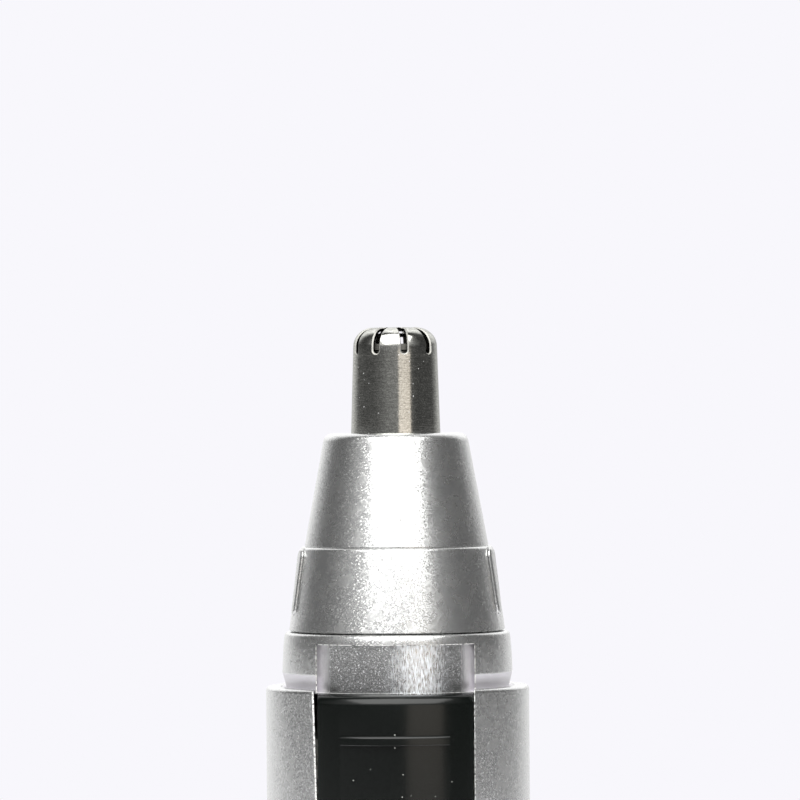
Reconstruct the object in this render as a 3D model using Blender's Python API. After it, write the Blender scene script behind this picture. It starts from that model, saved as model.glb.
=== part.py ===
"""Nose hair trimmer: a battery-driven tube with a slotted steel guard on a twist-off head.

All sizes are in millimetres, and the mesh helpers turn them into metres. The tube stands on
its base with its axis along +Z. The origin is the centre of the base, and the slide switch
faces -Y. Each joint has an empty on its axis, and the pieces that move with it are its children.
"""
import math

import bmesh
import bpy
from mathutils import Matrix, Vector

MM = 0.001
GAP = 0.3                # left between pieces that touch
RUN = 0.05               # radial clearance of a shaft in its hole
ROUND = 40               # sides of a large round piece
SMALL = 16               # sides of a small round piece

# Handle
CAP_Z = 9.0              # top edge of the battery cap's skirt
LEDGE_Z = 90.0           # top face of the body shell
BODY_R = 13.15
BODY_BORE = 11.6
SLOT_HALF = 7.85         # the switch's slot in the shell
SLOT_Z = 62.8

# Neck
NECK_FOOT_R = 11.15
NECK_R = 11.5
NECK_BORE = 10.2
NECK_TOP_Z = LEDGE_Z + 5.4
DECK_Z = LEDGE_Z + 3.6
TRACK_R = 10.65          # floor of the track that the switch runs up
TRACK_HALF = 7.8
TRACK_TOP_Z = LEDGE_Z + 4.4
TOWER_R = 6.4
TOWER_BORE = 5.8
TOWER_Z = 101.4

# Head
CONE_Z = NECK_TOP_Z + 0.25
CONE_R = 10.78
STEP_Z = LEDGE_Z + 13.9
STEP_LOW_R = 9.65
STEP_HIGH_R = 9.18
CONE_TOP_Z = LEDGE_Z + 25.2
CONE_TOP_R = 7.28
BEAD_ANGLES = (-76.5, 76.5, -103.5, 103.5)   # from the front
GUARD_TOP_Z = LEDGE_Z + 35.75
GUARD_SHOULDER_Z = LEDGE_Z + 33.85
GUARD_FOOT_R = 4.47
GUARD_TIP_R = 4.2
GUARD_WALL = 0.4
GUARD_SLOTS = 9
GUARD_SLOT_WIDTH = 0.88
GUARD_SLOT_Z = LEDGE_Z + 33.2

# Drive
SHAFT_R = 1.0
CAN_R = 9.9
CAN_FLAT = 7.55          # half the width across the can's flats
CAN_LOW_Z = 68.0
CAN_TOP_Z = 91.6
CAN_WALL = 0.5
POLES = 3
MOTOR_SCREW_X = 4.6
SPINDLE_Z = 102.3        # bottom of the blade's spindle

# Battery and switch
CELL_R = 7.15
CELL_LOW_Z = 10.6
CELL_TOP_Z = 61.0
TUBE_BORE = 7.5
TUBE_R = 8.5
CARRIER_LOW_Z = 62.0
CARRIER_TOP_Z = 63.4
CARRIER_SCREW_X = 9.7
BUTTON_HALF = 7.65
BUTTON_R = 13.0
BUTTON_LOW_Z = 63.2
BUTTON_TOP_Z = 89.6
PEG_HEIGHTS = (70.0, 81.0)


# ---- Helpers -------------------------------------------------------------------------------

def clear_scene():
    for item in list(bpy.data.objects):
        bpy.data.objects.remove(item)


def material(name, colour, roughness, metallic):
    """One Principled material with a plain colour."""
    made = bpy.data.materials.new(name)
    made.use_nodes = True
    shader = made.node_tree.nodes["Principled BSDF"]
    shader.inputs["Base Color"].default_value = (*colour, 1.0)
    shader.inputs["Roughness"].default_value = roughness
    shader.inputs["Metallic"].default_value = metallic
    return made


def finish(name, bm, look, parent=None, smooth=30.0):
    """Turn a bmesh in metres into an object with its material and its parent empty."""
    bmesh.ops.recalc_face_normals(bm, faces=bm.faces)
    mesh = bpy.data.meshes.new(name)
    bm.to_mesh(mesh)
    bm.free()
    mesh.shade_smooth()
    mesh.set_sharp_from_angle(angle=math.radians(smooth))
    made = bpy.data.objects.new(name, mesh)
    bpy.context.collection.objects.link(made)
    if look is not None:
        mesh.materials.append(material(name, *look))
    if parent is not None:
        made.parent = parent
        made.matrix_parent_inverse = parent.matrix_world.inverted()
    return made


def empty(name, location, parent=None):
    """An axis marker for a joint, in millimetres."""
    made = bpy.data.objects.new(name, None)
    bpy.context.collection.objects.link(made)
    made.location = Vector(location) * MM
    if parent is not None:
        made.parent = parent
    bpy.context.view_layer.update()
    return made


def arc(centre, radii, start, end, count):
    """Points of an elliptical arc in the (radius, height) plane; angles in degrees."""
    points = []
    for step in range(count + 1):
        angle = math.radians(start + (end - start) * step / count)
        points.append((centre[0] + radii[0] * math.cos(angle), centre[1] + radii[1] * math.sin(angle)))
    return points


def turned_bmesh(outline, segments):
    """Spin a (radius, height) outline about Z. One that starts and ends on the axis stays open."""
    bm = bmesh.new()
    verts = [bm.verts.new((radius * MM, 0.0, height * MM)) for radius, height in outline]
    edges = [bm.edges.new(pair) for pair in zip(verts[:-1], verts[1:])]
    if outline[0][0] > 0.0 or outline[-1][0] > 0.0:
        edges.append(bm.edges.new((verts[-1], verts[0])))
    bmesh.ops.spin(bm, geom=verts + edges, cent=(0, 0, 0), axis=(0, 0, 1), angle=math.tau,
                   steps=segments, use_merge=True)
    bmesh.ops.remove_doubles(bm, verts=bm.verts, dist=1e-7)
    return bm


def turned(name, outline, look, parent=None, segments=ROUND):
    return finish(name, turned_bmesh(outline, segments), look, parent)


def ring(inner, outer, low, high):
    """Outline of a plain ring."""
    return [(inner, low), (outer, low), (outer, high), (inner, high)]


def prism_bmesh(outline, low, high):
    """Extrude an (x, y) outline from one height to another."""
    bm = bmesh.new()
    face = bm.faces.new([bm.verts.new((x * MM, y * MM, low * MM)) for x, y in outline])
    grown = bmesh.ops.extrude_face_region(bm, geom=[face])
    moved = [item for item in grown["geom"] if isinstance(item, bmesh.types.BMVert)]
    bmesh.ops.translate(bm, verts=moved, vec=(0.0, 0.0, (high - low) * MM))
    return bm


def prism(name, outline, low, high, look, parent=None):
    return finish(name, prism_bmesh(outline, low, high), look, parent)


def box_outline(x_low, x_high, y_low, y_high):
    return [(x_low, y_low), (x_high, y_low), (x_high, y_high), (x_low, y_high)]


def disc_outline(radius, segments=SMALL, x=0.0, y=0.0):
    turns = [math.tau * (step + 0.5) / segments for step in range(segments)]
    return [(x + radius * math.cos(turn), y + radius * math.sin(turn)) for turn in turns]


def flatted_outline(radius, flat, segments=10):
    """A circle with two flats that face -Y and +Y."""
    limit = math.degrees(math.asin(flat / radius))
    right = arc((0.0, 0.0), (radius, radius), -limit, limit, segments)
    left = arc((0.0, 0.0), (radius, radius), 180.0 - limit, 180.0 + limit, segments)
    return right + left


def curved_outline(inner, outer, half_width, segments=12):
    """A wall that bends round the axis on the -Y side, with straight parallel sides."""
    wide = math.degrees(math.asin(half_width / outer))
    tight = math.degrees(math.asin(half_width / inner))
    front = arc((0.0, 0.0), (outer, outer), -90.0 - wide, -90.0 + wide, segments)
    back = arc((0.0, 0.0), (inner, inner), -90.0 + tight, -90.0 - tight, segments)
    return front + back


def sector_outline(inner, outer, start, end, segments=8):
    """A slice of a ring between two angles."""
    return (arc((0.0, 0.0), (outer, outer), start, end, segments)
            + arc((0.0, 0.0), (inner, inner), end, start, segments))


def side_prism(name, outline, low, high, across, look, parent=None):
    """Extrude an outline drawn in (across, z). Across "X" extrudes along Y, and "Y" along X."""
    bm = prism_bmesh(outline, low, high)
    if across == "X":
        turn = Matrix(((1, 0, 0), (0, 0, 1), (0, 1, 0))).to_4x4()
    else:
        turn = Matrix(((0, 0, 1), (1, 0, 0), (0, 1, 0))).to_4x4()
    bmesh.ops.transform(bm, matrix=turn, verts=bm.verts)
    return finish(name, bm, look, parent)


def combine(target, tool, operation):
    """Cut a tool from a piece, or join it on, and remove the tool."""
    change = target.modifiers.new(operation.lower(), "BOOLEAN")
    change.operation = operation
    change.solver = "EXACT"
    change.object = tool
    bpy.context.view_layer.update()
    evaluated = target.evaluated_get(bpy.context.evaluated_depsgraph_get())
    mesh = bpy.data.meshes.new_from_object(evaluated)
    target.modifiers.clear()
    old = target.data
    target.data = mesh
    bpy.data.meshes.remove(old)
    bpy.data.objects.remove(tool)
    mesh.shade_smooth()
    mesh.set_sharp_from_angle(angle=math.radians(30.0))


def cut(target, outline, low, high):
    combine(target, prism("cutter", outline, low, high, None), "DIFFERENCE")


def join(target, outline, low, high):
    combine(target, prism("addition", outline, low, high, None), "UNION")


def helix(name, low, high, radius_low, radius_high, wire, turns, look, parent):
    """A coil spring: one wire on a steadily rising path, with filled ends."""
    curve = bpy.data.curves.new(name, "CURVE")
    curve.dimensions = "3D"
    curve.bevel_depth = wire * MM
    curve.bevel_resolution = 1
    curve.use_fill_caps = True
    count = int(turns * 10)
    spline = curve.splines.new("POLY")
    spline.points.add(count)
    for step, point in enumerate(spline.points):
        part = step / count
        radius = radius_low + (radius_high - radius_low) * part
        angle = math.tau * turns * part
        place = Vector((radius * math.cos(angle), radius * math.sin(angle), low + (high - low) * part))
        point.co = (*(place * MM), 1.0)
    made = bpy.data.objects.new(name, curve)
    bpy.context.collection.objects.link(made)
    curve.materials.append(material(name, *look))
    made.parent = parent
    made.matrix_parent_inverse = parent.matrix_world.inverted()
    return made


def torus_outline(radius, height, thick, count=6):
    """A round section for a seal ring."""
    return arc((radius, height), (thick, thick), 0.0, 360.0 - 360.0 / count, count - 1)


# ---- Looks: colour, roughness, metallic ----------------------------------------------------

SILVER_PAINT = ((0.62, 0.62, 0.63), 0.35, 0.7)
BLACK_PLASTIC = ((0.02, 0.022, 0.021), 0.35, 0.0)
DARK_PLASTIC = ((0.06, 0.06, 0.065), 0.5, 0.0)
WHITE_PLASTIC = ((0.75, 0.75, 0.72), 0.45, 0.0)
STEEL = ((0.45, 0.43, 0.41), 0.25, 1.0)
ZINC = ((0.6, 0.6, 0.6), 0.35, 1.0)
BRASS = ((0.75, 0.58, 0.3), 0.3, 1.0)
COPPER = ((0.72, 0.3, 0.14), 0.35, 1.0)
FERRITE = ((0.08, 0.08, 0.085), 0.6, 0.0)
RUBBER = ((0.03, 0.03, 0.03), 0.7, 0.0)
CELL_WRAP = ((0.25, 0.27, 0.3), 0.3, 0.0)


# ---- Handle --------------------------------------------------------------------------------

def body_shell(parent):
    """Painted tube, open at both ends, with the switch's slot open to the ledge."""
    low = CAP_Z + GAP
    outline = [(BODY_BORE, low), (BODY_R - 0.25, low), (BODY_R, low + 0.25)]
    outline += arc((BODY_R - 0.4, LEDGE_Z - 0.4), (0.4, 0.4), 0.0, 90.0, 3)
    outline += [(BODY_BORE, LEDGE_Z)]
    shell = turned("body_shell", outline, SILVER_PAINT, parent)
    cut(shell, box_outline(-SLOT_HALF, SLOT_HALF, -15.0, -5.0), SLOT_Z, LEDGE_Z + 1.0)


def neck_frame(parent):
    """Collar above the ledge, with a skirt in the shell and a tower that carries the head."""
    skirt_low = 78.0
    outline = [(NECK_BORE, skirt_low), (NECK_FOOT_R, skirt_low)]
    outline += [(NECK_FOOT_R, LEDGE_Z + 0.1), (NECK_R - 0.06, LEDGE_Z + 1.25), (NECK_R, LEDGE_Z + 1.45)]
    outline += arc((NECK_R - 0.57, NECK_TOP_Z - 0.27), (0.27, 0.33), 0.0, 90.0, 3)
    outline += [(TOWER_R, NECK_TOP_Z), (TOWER_R, TOWER_Z - 0.3), (TOWER_R - 0.3, TOWER_Z)]
    outline += [(TOWER_BORE, TOWER_Z), (TOWER_BORE, NECK_TOP_Z)]
    outline += [(3.5, NECK_TOP_Z), (3.5, DECK_Z), (NECK_BORE, DECK_Z)]
    neck = turned("neck_frame", outline, SILVER_PAINT, parent)
    for side in (-1, 1):
        key = sorted((side * (TOWER_R - 0.3), side * (TOWER_R + 0.75)))
        join(neck, box_outline(key[0], key[1], -0.9, 0.9), 96.9, TOWER_Z - 0.5)
        cut(neck, disc_outline(0.9, 12, side * MOTOR_SCREW_X), DECK_Z - 1.0, NECK_TOP_Z + 1.0)
    cut(neck, box_outline(-9.7, 9.7, -12.5, -2.0), skirt_low - 1.0, LEDGE_Z - 0.4)
    cut(neck, curved_outline(TRACK_R, NECK_R + 1.0, TRACK_HALF, 20), LEDGE_Z - 0.1, TRACK_TOP_Z)


def head_seal(parent):
    """Rubber ring at the foot of the tower, under the head."""
    turned("head_seal", torus_outline(7.1, NECK_TOP_Z + 0.65, 0.38), RUBBER, parent, 28)


# ---- Motor ---------------------------------------------------------------------------------

def motor_can(parent):
    """Drawn steel cup with two flats, open at the bottom."""
    can = prism("motor_can", flatted_outline(CAN_R, CAN_FLAT), CAN_LOW_Z, CAN_TOP_Z, ZINC, parent)
    inner = flatted_outline(CAN_R - CAN_WALL, CAN_FLAT - CAN_WALL)
    cut(can, inner, CAN_LOW_Z - 1.0, CAN_TOP_Z - CAN_WALL)
    cut(can, disc_outline(3.1), CAN_TOP_Z - 1.0, CAN_TOP_Z + 1.0)
    for side in (-1, 1):
        cut(can, disc_outline(0.9, 12, side * MOTOR_SCREW_X), CAN_TOP_Z - 1.0, CAN_TOP_Z + 1.0)


def magnets(parent):
    """Two curved ferrite magnets against the can's round sides."""
    for name, middle in (("magnet_right", 0.0), ("magnet_left", 180.0)):
        outline = sector_outline(7.3, CAN_R - CAN_WALL - GAP, middle - 42.0, middle + 42.0)
        prism(name, outline, 72.0, 87.0, FERRITE, parent)


def end_bell(parent):
    """Plastic plug that closes the can and holds the rear bush and the brushes."""
    outline = flatted_outline(CAN_R, CAN_FLAT)
    bell = prism("end_bell", outline, CAN_LOW_Z - 2.3, CAN_LOW_Z - GAP, WHITE_PLASTIC, parent)
    inner = flatted_outline(CAN_R - CAN_WALL - GAP, CAN_FLAT - CAN_WALL - GAP)
    join(bell, inner, CAN_LOW_Z - 0.8, CAN_LOW_Z + 1.5)
    cut(bell, disc_outline(2.55), CAN_LOW_Z - 4.0, CAN_LOW_Z + 3.0)
    for side in (-1, 1):
        slot = sorted((side * 5.0, side * 6.0))
        cut(bell, box_outline(slot[0], slot[1], -1.6, 1.6), CAN_LOW_Z - 4.0, CAN_LOW_Z + 3.0)


def bushes(parent):
    """Sintered bronze bearings at the two ends of the motor."""
    bore = SHAFT_R + RUN
    front = ring(bore, 2.8, CAN_TOP_Z - 1.2, CAN_TOP_Z + 1.2)
    turned("front_bush", front, BRASS, parent, SMALL)
    rear = ring(bore, 2.25, CAN_LOW_Z - 2.1, CAN_LOW_Z + 0.5)
    turned("rear_bush", rear, BRASS, parent, SMALL)


def brushes(parent):
    """Sprung terminals: a lug under the end bell, an arm, and a block on the commutator."""
    for name, side in (("brush_right", 1), ("brush_left", -1)):
        outline = [(5.3, 63.9), (5.7, 63.9), (5.7, 71.4), (3.4, 71.4), (3.4, 72.0), (2.5, 72.0)]
        outline += [(2.5, 70.3), (3.4, 70.3), (3.4, 71.0), (5.3, 71.0)]
        mirrored = [(side * across, height) for across, height in outline]
        side_prism(name, mirrored, -1.2, 1.2, "X", BRASS, parent)


def motor_damper(parent):
    """Rubber washer between the motor and the neck's deck."""
    outline = ring(5.6, 9.5, CAN_TOP_Z + GAP, DECK_Z - GAP)
    turned("motor_damper", outline, RUBBER, parent, 24)


def screw_outline(head_r, head_low, head_high, shank_r, tip_z):
    """Pan-head screw that points down, as a turned outline from its tip to its head."""
    return [(0.0, tip_z), (shank_r, tip_z + shank_r), (shank_r, head_low), (head_r, head_low),
            (head_r, head_high - 0.3), (head_r - 0.4, head_high), (0.0, head_high)]


def screws(parent):
    """Screws that hang the motor from the deck, and screws that hold the contact carrier."""
    motor_low = NECK_TOP_Z + GAP
    carrier_low = CARRIER_TOP_Z + GAP
    motor = screw_outline(1.05, motor_low, motor_low + 0.9, 0.65, 90.0)
    carrier = screw_outline(1.4, carrier_low, carrier_low + 1.1, 0.8, 56.4)
    kinds = (("motor", motor, MOTOR_SCREW_X), ("carrier", carrier, CARRIER_SCREW_X))
    for side, end in ((-1, "left"), (1, "right")):
        for kind, outline, offset in kinds:
            screw = turned(f"{kind}_screw_{end}", outline, ZINC, parent, 12)
            screw.data.transform(Matrix.Translation((side * offset * MM, 0.0, 0.0)))


# ---- Rotor ---------------------------------------------------------------------------------

def motor_shaft(parent):
    turned("motor_shaft", [(0.0, 64.9), (SHAFT_R, 64.9), (SHAFT_R, 98.5), (0.0, 98.5)], STEEL, parent, SMALL)


def armature_core(parent):
    """Laminated iron core with three poles."""
    outline = []
    for pole in range(POLES):
        turn = Matrix.Rotation(math.tau * pole / POLES, 2)
        right = [(2.0, -1.15), (5.6, -1.15)]
        tip = arc((0.0, 0.0), (6.9, 6.9), -46.0, 46.0, 10)
        under = [arc((0.0, 0.0), (5.75, 5.75), angle, angle, 1)[0] for angle in (-46.0, 46.0)]
        shape = right + [under[0]] + tip + [under[1], (5.6, 1.15), (2.0, 1.15)]
        outline += [tuple(turn @ Vector(point)) for point in shape]
    core = prism("armature_core", outline, 74.0, 85.0, ZINC, parent)
    cut(core, disc_outline(SHAFT_R + RUN), 73.0, 86.0)


def windings(parent):
    """A coil of enamelled copper wire round each pole."""
    for pole in range(POLES):
        coil = prism(f"winding_{pole + 1}", box_outline(2.9, 4.9, -2.4, 2.4), 72.8, 86.2, COPPER, parent)
        cut(coil, box_outline(2.0, 6.0, -1.45, 1.45), 73.7, 85.3)
        coil.data.transform(Matrix.Rotation(math.tau * pole / POLES, 4, "Z"))


def commutator(parent):
    """Copper sleeve with three slits, under the windings."""
    sleeve = turned("commutator", ring(SHAFT_R + RUN, 2.4, 69.9, 72.4), COPPER, parent, SMALL)
    for pole in range(POLES):
        angle = 360.0 * (pole + 0.5) / POLES
        cut(sleeve, sector_outline(2.0, 3.0, angle - 4.0, angle + 4.0, 1), 70.2, 73.0)


def drive_dog(parent):
    """Plastic coupling on the shaft, with a two-flat tongue that turns the spindle."""
    outline = [(0.0, 98.8), (SHAFT_R + RUN, 98.8), (SHAFT_R + RUN, 96.0), (2.8, 96.0)]
    outline += [(2.8, 99.2), (0.0, 99.2)]
    dog = turned("drive_dog", outline, DARK_PLASTIC, parent, SMALL)
    join(dog, flatted_outline(1.7, 0.95, 6), 99.0, 105.8)


def blade_spring(parent):
    """Spring round the tongue that lifts the cutter against the guard."""
    helix("blade_spring", 99.75, 101.75, 2.35, 2.35, 0.2, 3.0, STEEL, parent)


# ---- Cutter --------------------------------------------------------------------------------

def blade_spindle(parent):
    """Plastic stem with a socket for the tongue below and a seat for the blade above."""
    outline = [(0.0, SPINDLE_Z), (3.0, SPINDLE_Z), (3.0, 107.0), (2.0, 107.0), (2.0, 118.6)]
    outline += [(3.2, 118.6), (3.2, 119.9), (1.5, 119.9), (1.5, 121.5), (0.0, 121.5)]
    spindle = turned("blade_spindle", outline, WHITE_PLASTIC, parent, SMALL)
    cut(spindle, flatted_outline(2.0, 1.25, 6), SPINDLE_Z - 1.0, 106.1)


def inner_blade(parent):
    """Steel cup that spins inside the guard, with a raised rim and four blades above it."""
    skin = 0.35
    rim_low, rim_high = 123.45, 124.1
    outer = arc((2.05, rim_high), (1.6, 1.05), 0.0, 90.0, 4)
    inner = arc((2.05, rim_high), (1.6 - skin, 1.05 - skin), 90.0, 0.0, 4)
    outline = [(0.0, rim_high + 1.05 - skin)] + inner
    outline += [(3.65 - skin, rim_low + 0.15), (3.0, rim_low - 0.05), (3.0, 120.2 + skin)]
    outline += [(1.8, 120.2 + skin), (1.8, 120.2), (3.0 + skin, 120.2), (3.0 + skin, rim_low - 0.05)]
    outline += [(3.65, rim_low)] + outer + [(0.0, rim_high + 1.05)]
    blade = turned("inner_blade", outline, STEEL, parent, 24)
    for slot in range(4):
        turn = Matrix.Rotation(math.radians(90.0 * slot - 96.0), 2)
        shape = [tuple(turn @ Vector(point)) for point in box_outline(2.1, 5.0, -1.55, 1.55)]
        cut(blade, shape, rim_high, 126.0)


# ---- Head ----------------------------------------------------------------------------------

def guard_tube(parent):
    """Deep-drawn steel tube with a flange, a rounded shoulder and nine comb slots."""
    shoulder = (2.0, GUARD_TOP_Z - GUARD_SHOULDER_Z)
    centre = (GUARD_TIP_R - shoulder[0], GUARD_SHOULDER_Z)
    flange_low = 107.8
    outline = [(0.0, GUARD_TOP_Z - GUARD_WALL)]
    outline += arc(centre, (shoulder[0] - GUARD_WALL, shoulder[1] - GUARD_WALL), 90.0, 0.0, 5)
    outline += [(GUARD_FOOT_R - GUARD_WALL, CONE_TOP_Z), (GUARD_FOOT_R - GUARD_WALL, flange_low)]
    outline += [(5.8, flange_low), (5.8, flange_low + 0.5), (GUARD_FOOT_R, flange_low + 0.5)]
    outline += [(GUARD_FOOT_R, CONE_TOP_Z)]
    outline += arc(centre, shoulder, 0.0, 90.0, 5) + [(0.0, GUARD_TOP_Z)]
    guard = turned("guard_tube", outline, STEEL, parent, 45)
    half = GUARD_SLOT_WIDTH / 2
    for slot in range(GUARD_SLOTS):
        angle = math.radians(360.0 * slot / GUARD_SLOTS + 14.0 - 90.0)
        tool = slot_tool(half)
        tool.data.transform(Matrix.Rotation(angle, 4, "Z"))
        combine(guard, tool, "DIFFERENCE")


def slot_tool(half):
    """Round-ended cutter for one guard slot, along +X."""
    low = GUARD_SLOT_Z + half
    outline = arc((0.0, low), (half, half), 180.0, 360.0, 4) + [(half, 130.0), (-half, 130.0)]
    return side_prism("slot", outline, 1.8, 6.0, "Y", None)


def head_insert(parent):
    """Plastic carrier, keyed on the tower, with a flange seat and the spindle's bearing."""
    outline = [(6.7, 96.9), (7.6, 96.9), (7.6, 104.8), (5.9, 105.2), (5.9, 107.5), (3.6, 107.5)]
    outline += [(3.6, 112.0), (2.0 + RUN + 0.02, 112.0), (2.0 + RUN + 0.02, 107.3), (3.3, 107.3)]
    outline += [(3.3, 103.8), (6.7, 103.8)]
    insert = turned("head_insert", outline, DARK_PLASTIC, parent, 24)
    for side in (-1, 1):
        slot = sorted((side * 5.0, side * 9.0))
        cut(insert, box_outline(slot[0], slot[1], -1.2, 1.2), 96.0, 101.5)


def head_cone(parent):
    """Painted cone with a step, a sleeve that clamps the guard, and four grip beads."""
    outline = [(9.6, CONE_Z), (CONE_R - 0.15, CONE_Z), (CONE_R, CONE_Z + 0.15)]
    outline += arc((STEP_LOW_R - 0.38, STEP_Z - 0.32), (0.38, 0.32), 0.0, 90.0, 3)
    outline += [(STEP_HIGH_R, STEP_Z)]
    outline += arc((CONE_TOP_R - 0.95, CONE_TOP_Z - 0.95), (0.95, 0.95), 0.0, 90.0, 4)
    outline += [(GUARD_FOOT_R + 0.13, CONE_TOP_Z), (GUARD_FOOT_R + 0.13, 114.4), (4.8, 114.2)]
    outline += [(4.8, 108.6), (5.7, 108.6), (5.7, 113.7), (6.3, 113.7), (7.95, 105.0), (8.55, 103.2)]
    cone = turned("head_cone", outline, SILVER_PAINT, parent)
    for angle in BEAD_ANGLES:
        combine(cone, grip_bead(math.radians(angle - 90.0)), "UNION")


def grip_bead(angle):
    """Tapered round-ended pad that stands 0.25 mm proud of the lower cone, wider at the top."""
    low, high, thin, thick = LEDGE_Z + 7.65, LEDGE_Z + 12.95, 0.6, 0.85
    outline = arc((0.0, high), (thick, thick), 0.0, 180.0, 6)
    outline += arc((0.0, low), (thin, thin), 180.0, 360.0, 6)
    bm = prism_bmesh(outline, -0.6, 0.25)
    middle = (low + high) / 2
    slope = (CONE_R - STEP_LOW_R) / (STEP_Z - CONE_Z)
    face = CONE_R - slope * (middle - CONE_Z)
    stand_up = Matrix(((0, 0, 1), (1, 0, 0), (0, 1, 0))).to_4x4()
    back = Matrix.Translation((0.0, -middle * MM, 0.0))
    lean = Matrix.Rotation(-math.atan(slope), 4, "Y")
    out = Matrix.Translation((face * MM, 0.0, middle * MM))
    place = Matrix.Rotation(angle, 4, "Z") @ out @ lean @ stand_up @ back
    bmesh.ops.transform(bm, matrix=place, verts=bm.verts)
    return finish("bead", bm, None)


# ---- Battery -------------------------------------------------------------------------------

def battery_cell(parent):
    """AA cell, terminal up."""
    outline = [(0.0, CELL_LOW_Z), (CELL_R - 0.5, CELL_LOW_Z), (CELL_R, CELL_LOW_Z + 0.5)]
    outline += [(CELL_R, CELL_TOP_Z - 1.5), (CELL_R - 0.6, CELL_TOP_Z - 1.0), (2.75, CELL_TOP_Z - 1.0)]
    outline += [(2.75, CELL_TOP_Z), (0.0, CELL_TOP_Z)]
    turned("battery_cell", outline, CELL_WRAP, parent, 24)


def battery_tube(parent):
    """Plastic tube for the cell, with four ribs that centre it and two screw ears."""
    tube = turned("battery_tube", ring(TUBE_BORE, TUBE_R, 10.1, CELL_TOP_Z), DARK_PLASTIC, parent, 28)
    for angle in (35.0, 145.0, 215.0, 325.0):
        turn = Matrix.Rotation(math.radians(angle), 2)
        rib = [tuple(turn @ Vector(point)) for point in box_outline(8.2, BODY_BORE - GAP, -0.6, 0.6)]
        join(tube, rib, 16.0, 60.0)
    for side in (-1, 1):
        ear = sorted((side * 8.2, side * 11.0))
        join(tube, box_outline(ear[0], ear[1], -1.9, 1.9), 53.0, CELL_TOP_Z)
        cut(tube, disc_outline(1.0, 12, side * CARRIER_SCREW_X), 55.5, CELL_TOP_Z + 1.0)


def contact_carrier(parent):
    """Plastic bulkhead between the cell and the motor, with two posts under the end bell."""
    outline = [(0.0, CARRIER_LOW_Z), (BODY_BORE - GAP, CARRIER_LOW_Z)]
    outline += [(BODY_BORE - GAP, CARRIER_TOP_Z), (0.0, CARRIER_TOP_Z)]
    plate = turned("contact_carrier", outline, DARK_PLASTIC, parent)
    cut(plate, box_outline(-6.0, 4.0, -13.0, -7.4), CARRIER_LOW_Z - 1.0, CARRIER_TOP_Z + 1.0)
    cut(plate, box_outline(-2.0, 2.0, 8.4, 13.0), CARRIER_LOW_Z - 1.0, CARRIER_TOP_Z + 1.0)
    for side in (-1, 1):
        hole = disc_outline(1.0, 12, side * CARRIER_SCREW_X)
        cut(plate, hole, CARRIER_LOW_Z - 1.0, CARRIER_TOP_Z + 1.0)
        post = sorted((side * 2.2, side * 4.2))
        join(plate, box_outline(post[0], post[1], 3.8, 5.8), CARRIER_TOP_Z - 0.5, CAN_LOW_Z - 2.6)


def contact_strips(parent):
    """Plated strips: cell to switch, switch to motor, and base to motor."""
    plate_z = CELL_TOP_Z + GAP
    outline = [(3.5, plate_z), (3.5, plate_z + 0.4), (-7.9, plate_z + 0.4), (-7.9, 75.0)]
    outline += [(-8.3, 75.0), (-8.3, plate_z)]
    side_prism("positive_contact", outline, 0.6, 3.6, "Y", BRASS, parent)
    outline = [(-5.5, 64.0), (-4.5, 64.0), (-4.5, 79.0), (-3.6, 79.0), (-3.6, 74.0), (-0.6, 74.0)]
    outline += [(-0.6, 80.0), (-5.5, 80.0)]
    side_prism("motor_strip", outline, -8.3, -7.9, "X", BRASS, parent)
    outline = [(8.8, 9.5), (9.1, 9.5), (9.1, 64.6), (2.0, 64.6), (2.0, 64.2), (8.8, 64.2)]
    side_prism("negative_strip", outline, -1.5, 1.5, "Y", BRASS, parent)


# ---- Switch --------------------------------------------------------------------------------

def slide_button(parent):
    """Black thumb piece that fills the slot, with one raised rib and two pegs behind."""
    outline = curved_outline(NECK_R + 0.1, BUTTON_R, BUTTON_HALF, 14)
    button = prism("slide_button", outline, BUTTON_LOW_Z, BUTTON_TOP_Z, BLACK_PLASTIC, parent)
    join(button, curved_outline(BUTTON_R - 0.3, BUTTON_R + 0.55, 5.35, 8), LEDGE_Z - 5.3, LEDGE_Z - 4.35)
    for height in PEG_HEIGHTS:
        peg = side_prism("peg", disc_outline(1.1, 12, 0.0, height), -11.8, -9.8, "X", None)
        combine(button, peg, "UNION")


def slide_carrier(parent):
    """Plastic plate behind the slot that keeps the button in."""
    outline = curved_outline(NECK_BORE, NECK_FOOT_R, 9.3, 10)
    carrier = prism("slide_carrier", outline, 66.0, 85.0, WHITE_PLASTIC, parent)
    for height in PEG_HEIGHTS:
        hole = side_prism("hole", disc_outline(1.4, 12, 0.0, height), -13.0, -8.0, "X", None)
        combine(carrier, hole, "DIFFERENCE")


def moving_contact(parent):
    """Plated bridge that the switch slides on to the motor's strip."""
    bridge = prism("moving_contact", box_outline(-3.4, 3.4, -9.3, -9.0), 68.5, 73.6, BRASS, parent)
    for across in (-2.1, 2.1):
        join(bridge, box_outline(across - 0.6, across + 0.6, -9.1, -8.6), 71.2, 72.4)


# ---- Base ----------------------------------------------------------------------------------

def battery_cap(parent):
    """Painted end cap with a rounded foot and a plug that enters the shell."""
    outline = [(0.0, 0.0)] + arc((BODY_R - 1.5, 1.5), (1.5, 1.5), -90.0, 0.0, 4)
    outline += [(BODY_R, CAP_Z - 0.2), (BODY_R - 0.2, CAP_Z), (10.4, CAP_Z), (10.4, 14.8)]
    outline += [(9.5, 14.8), (9.5, 1.6), (0.0, 1.6)]
    turned("battery_cap", outline, SILVER_PAINT, parent)


def cap_seal(parent):
    """Rubber ring round the cap's plug."""
    turned("cap_seal", torus_outline(10.95, 10.6, 0.35), RUBBER, parent, 36)


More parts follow.
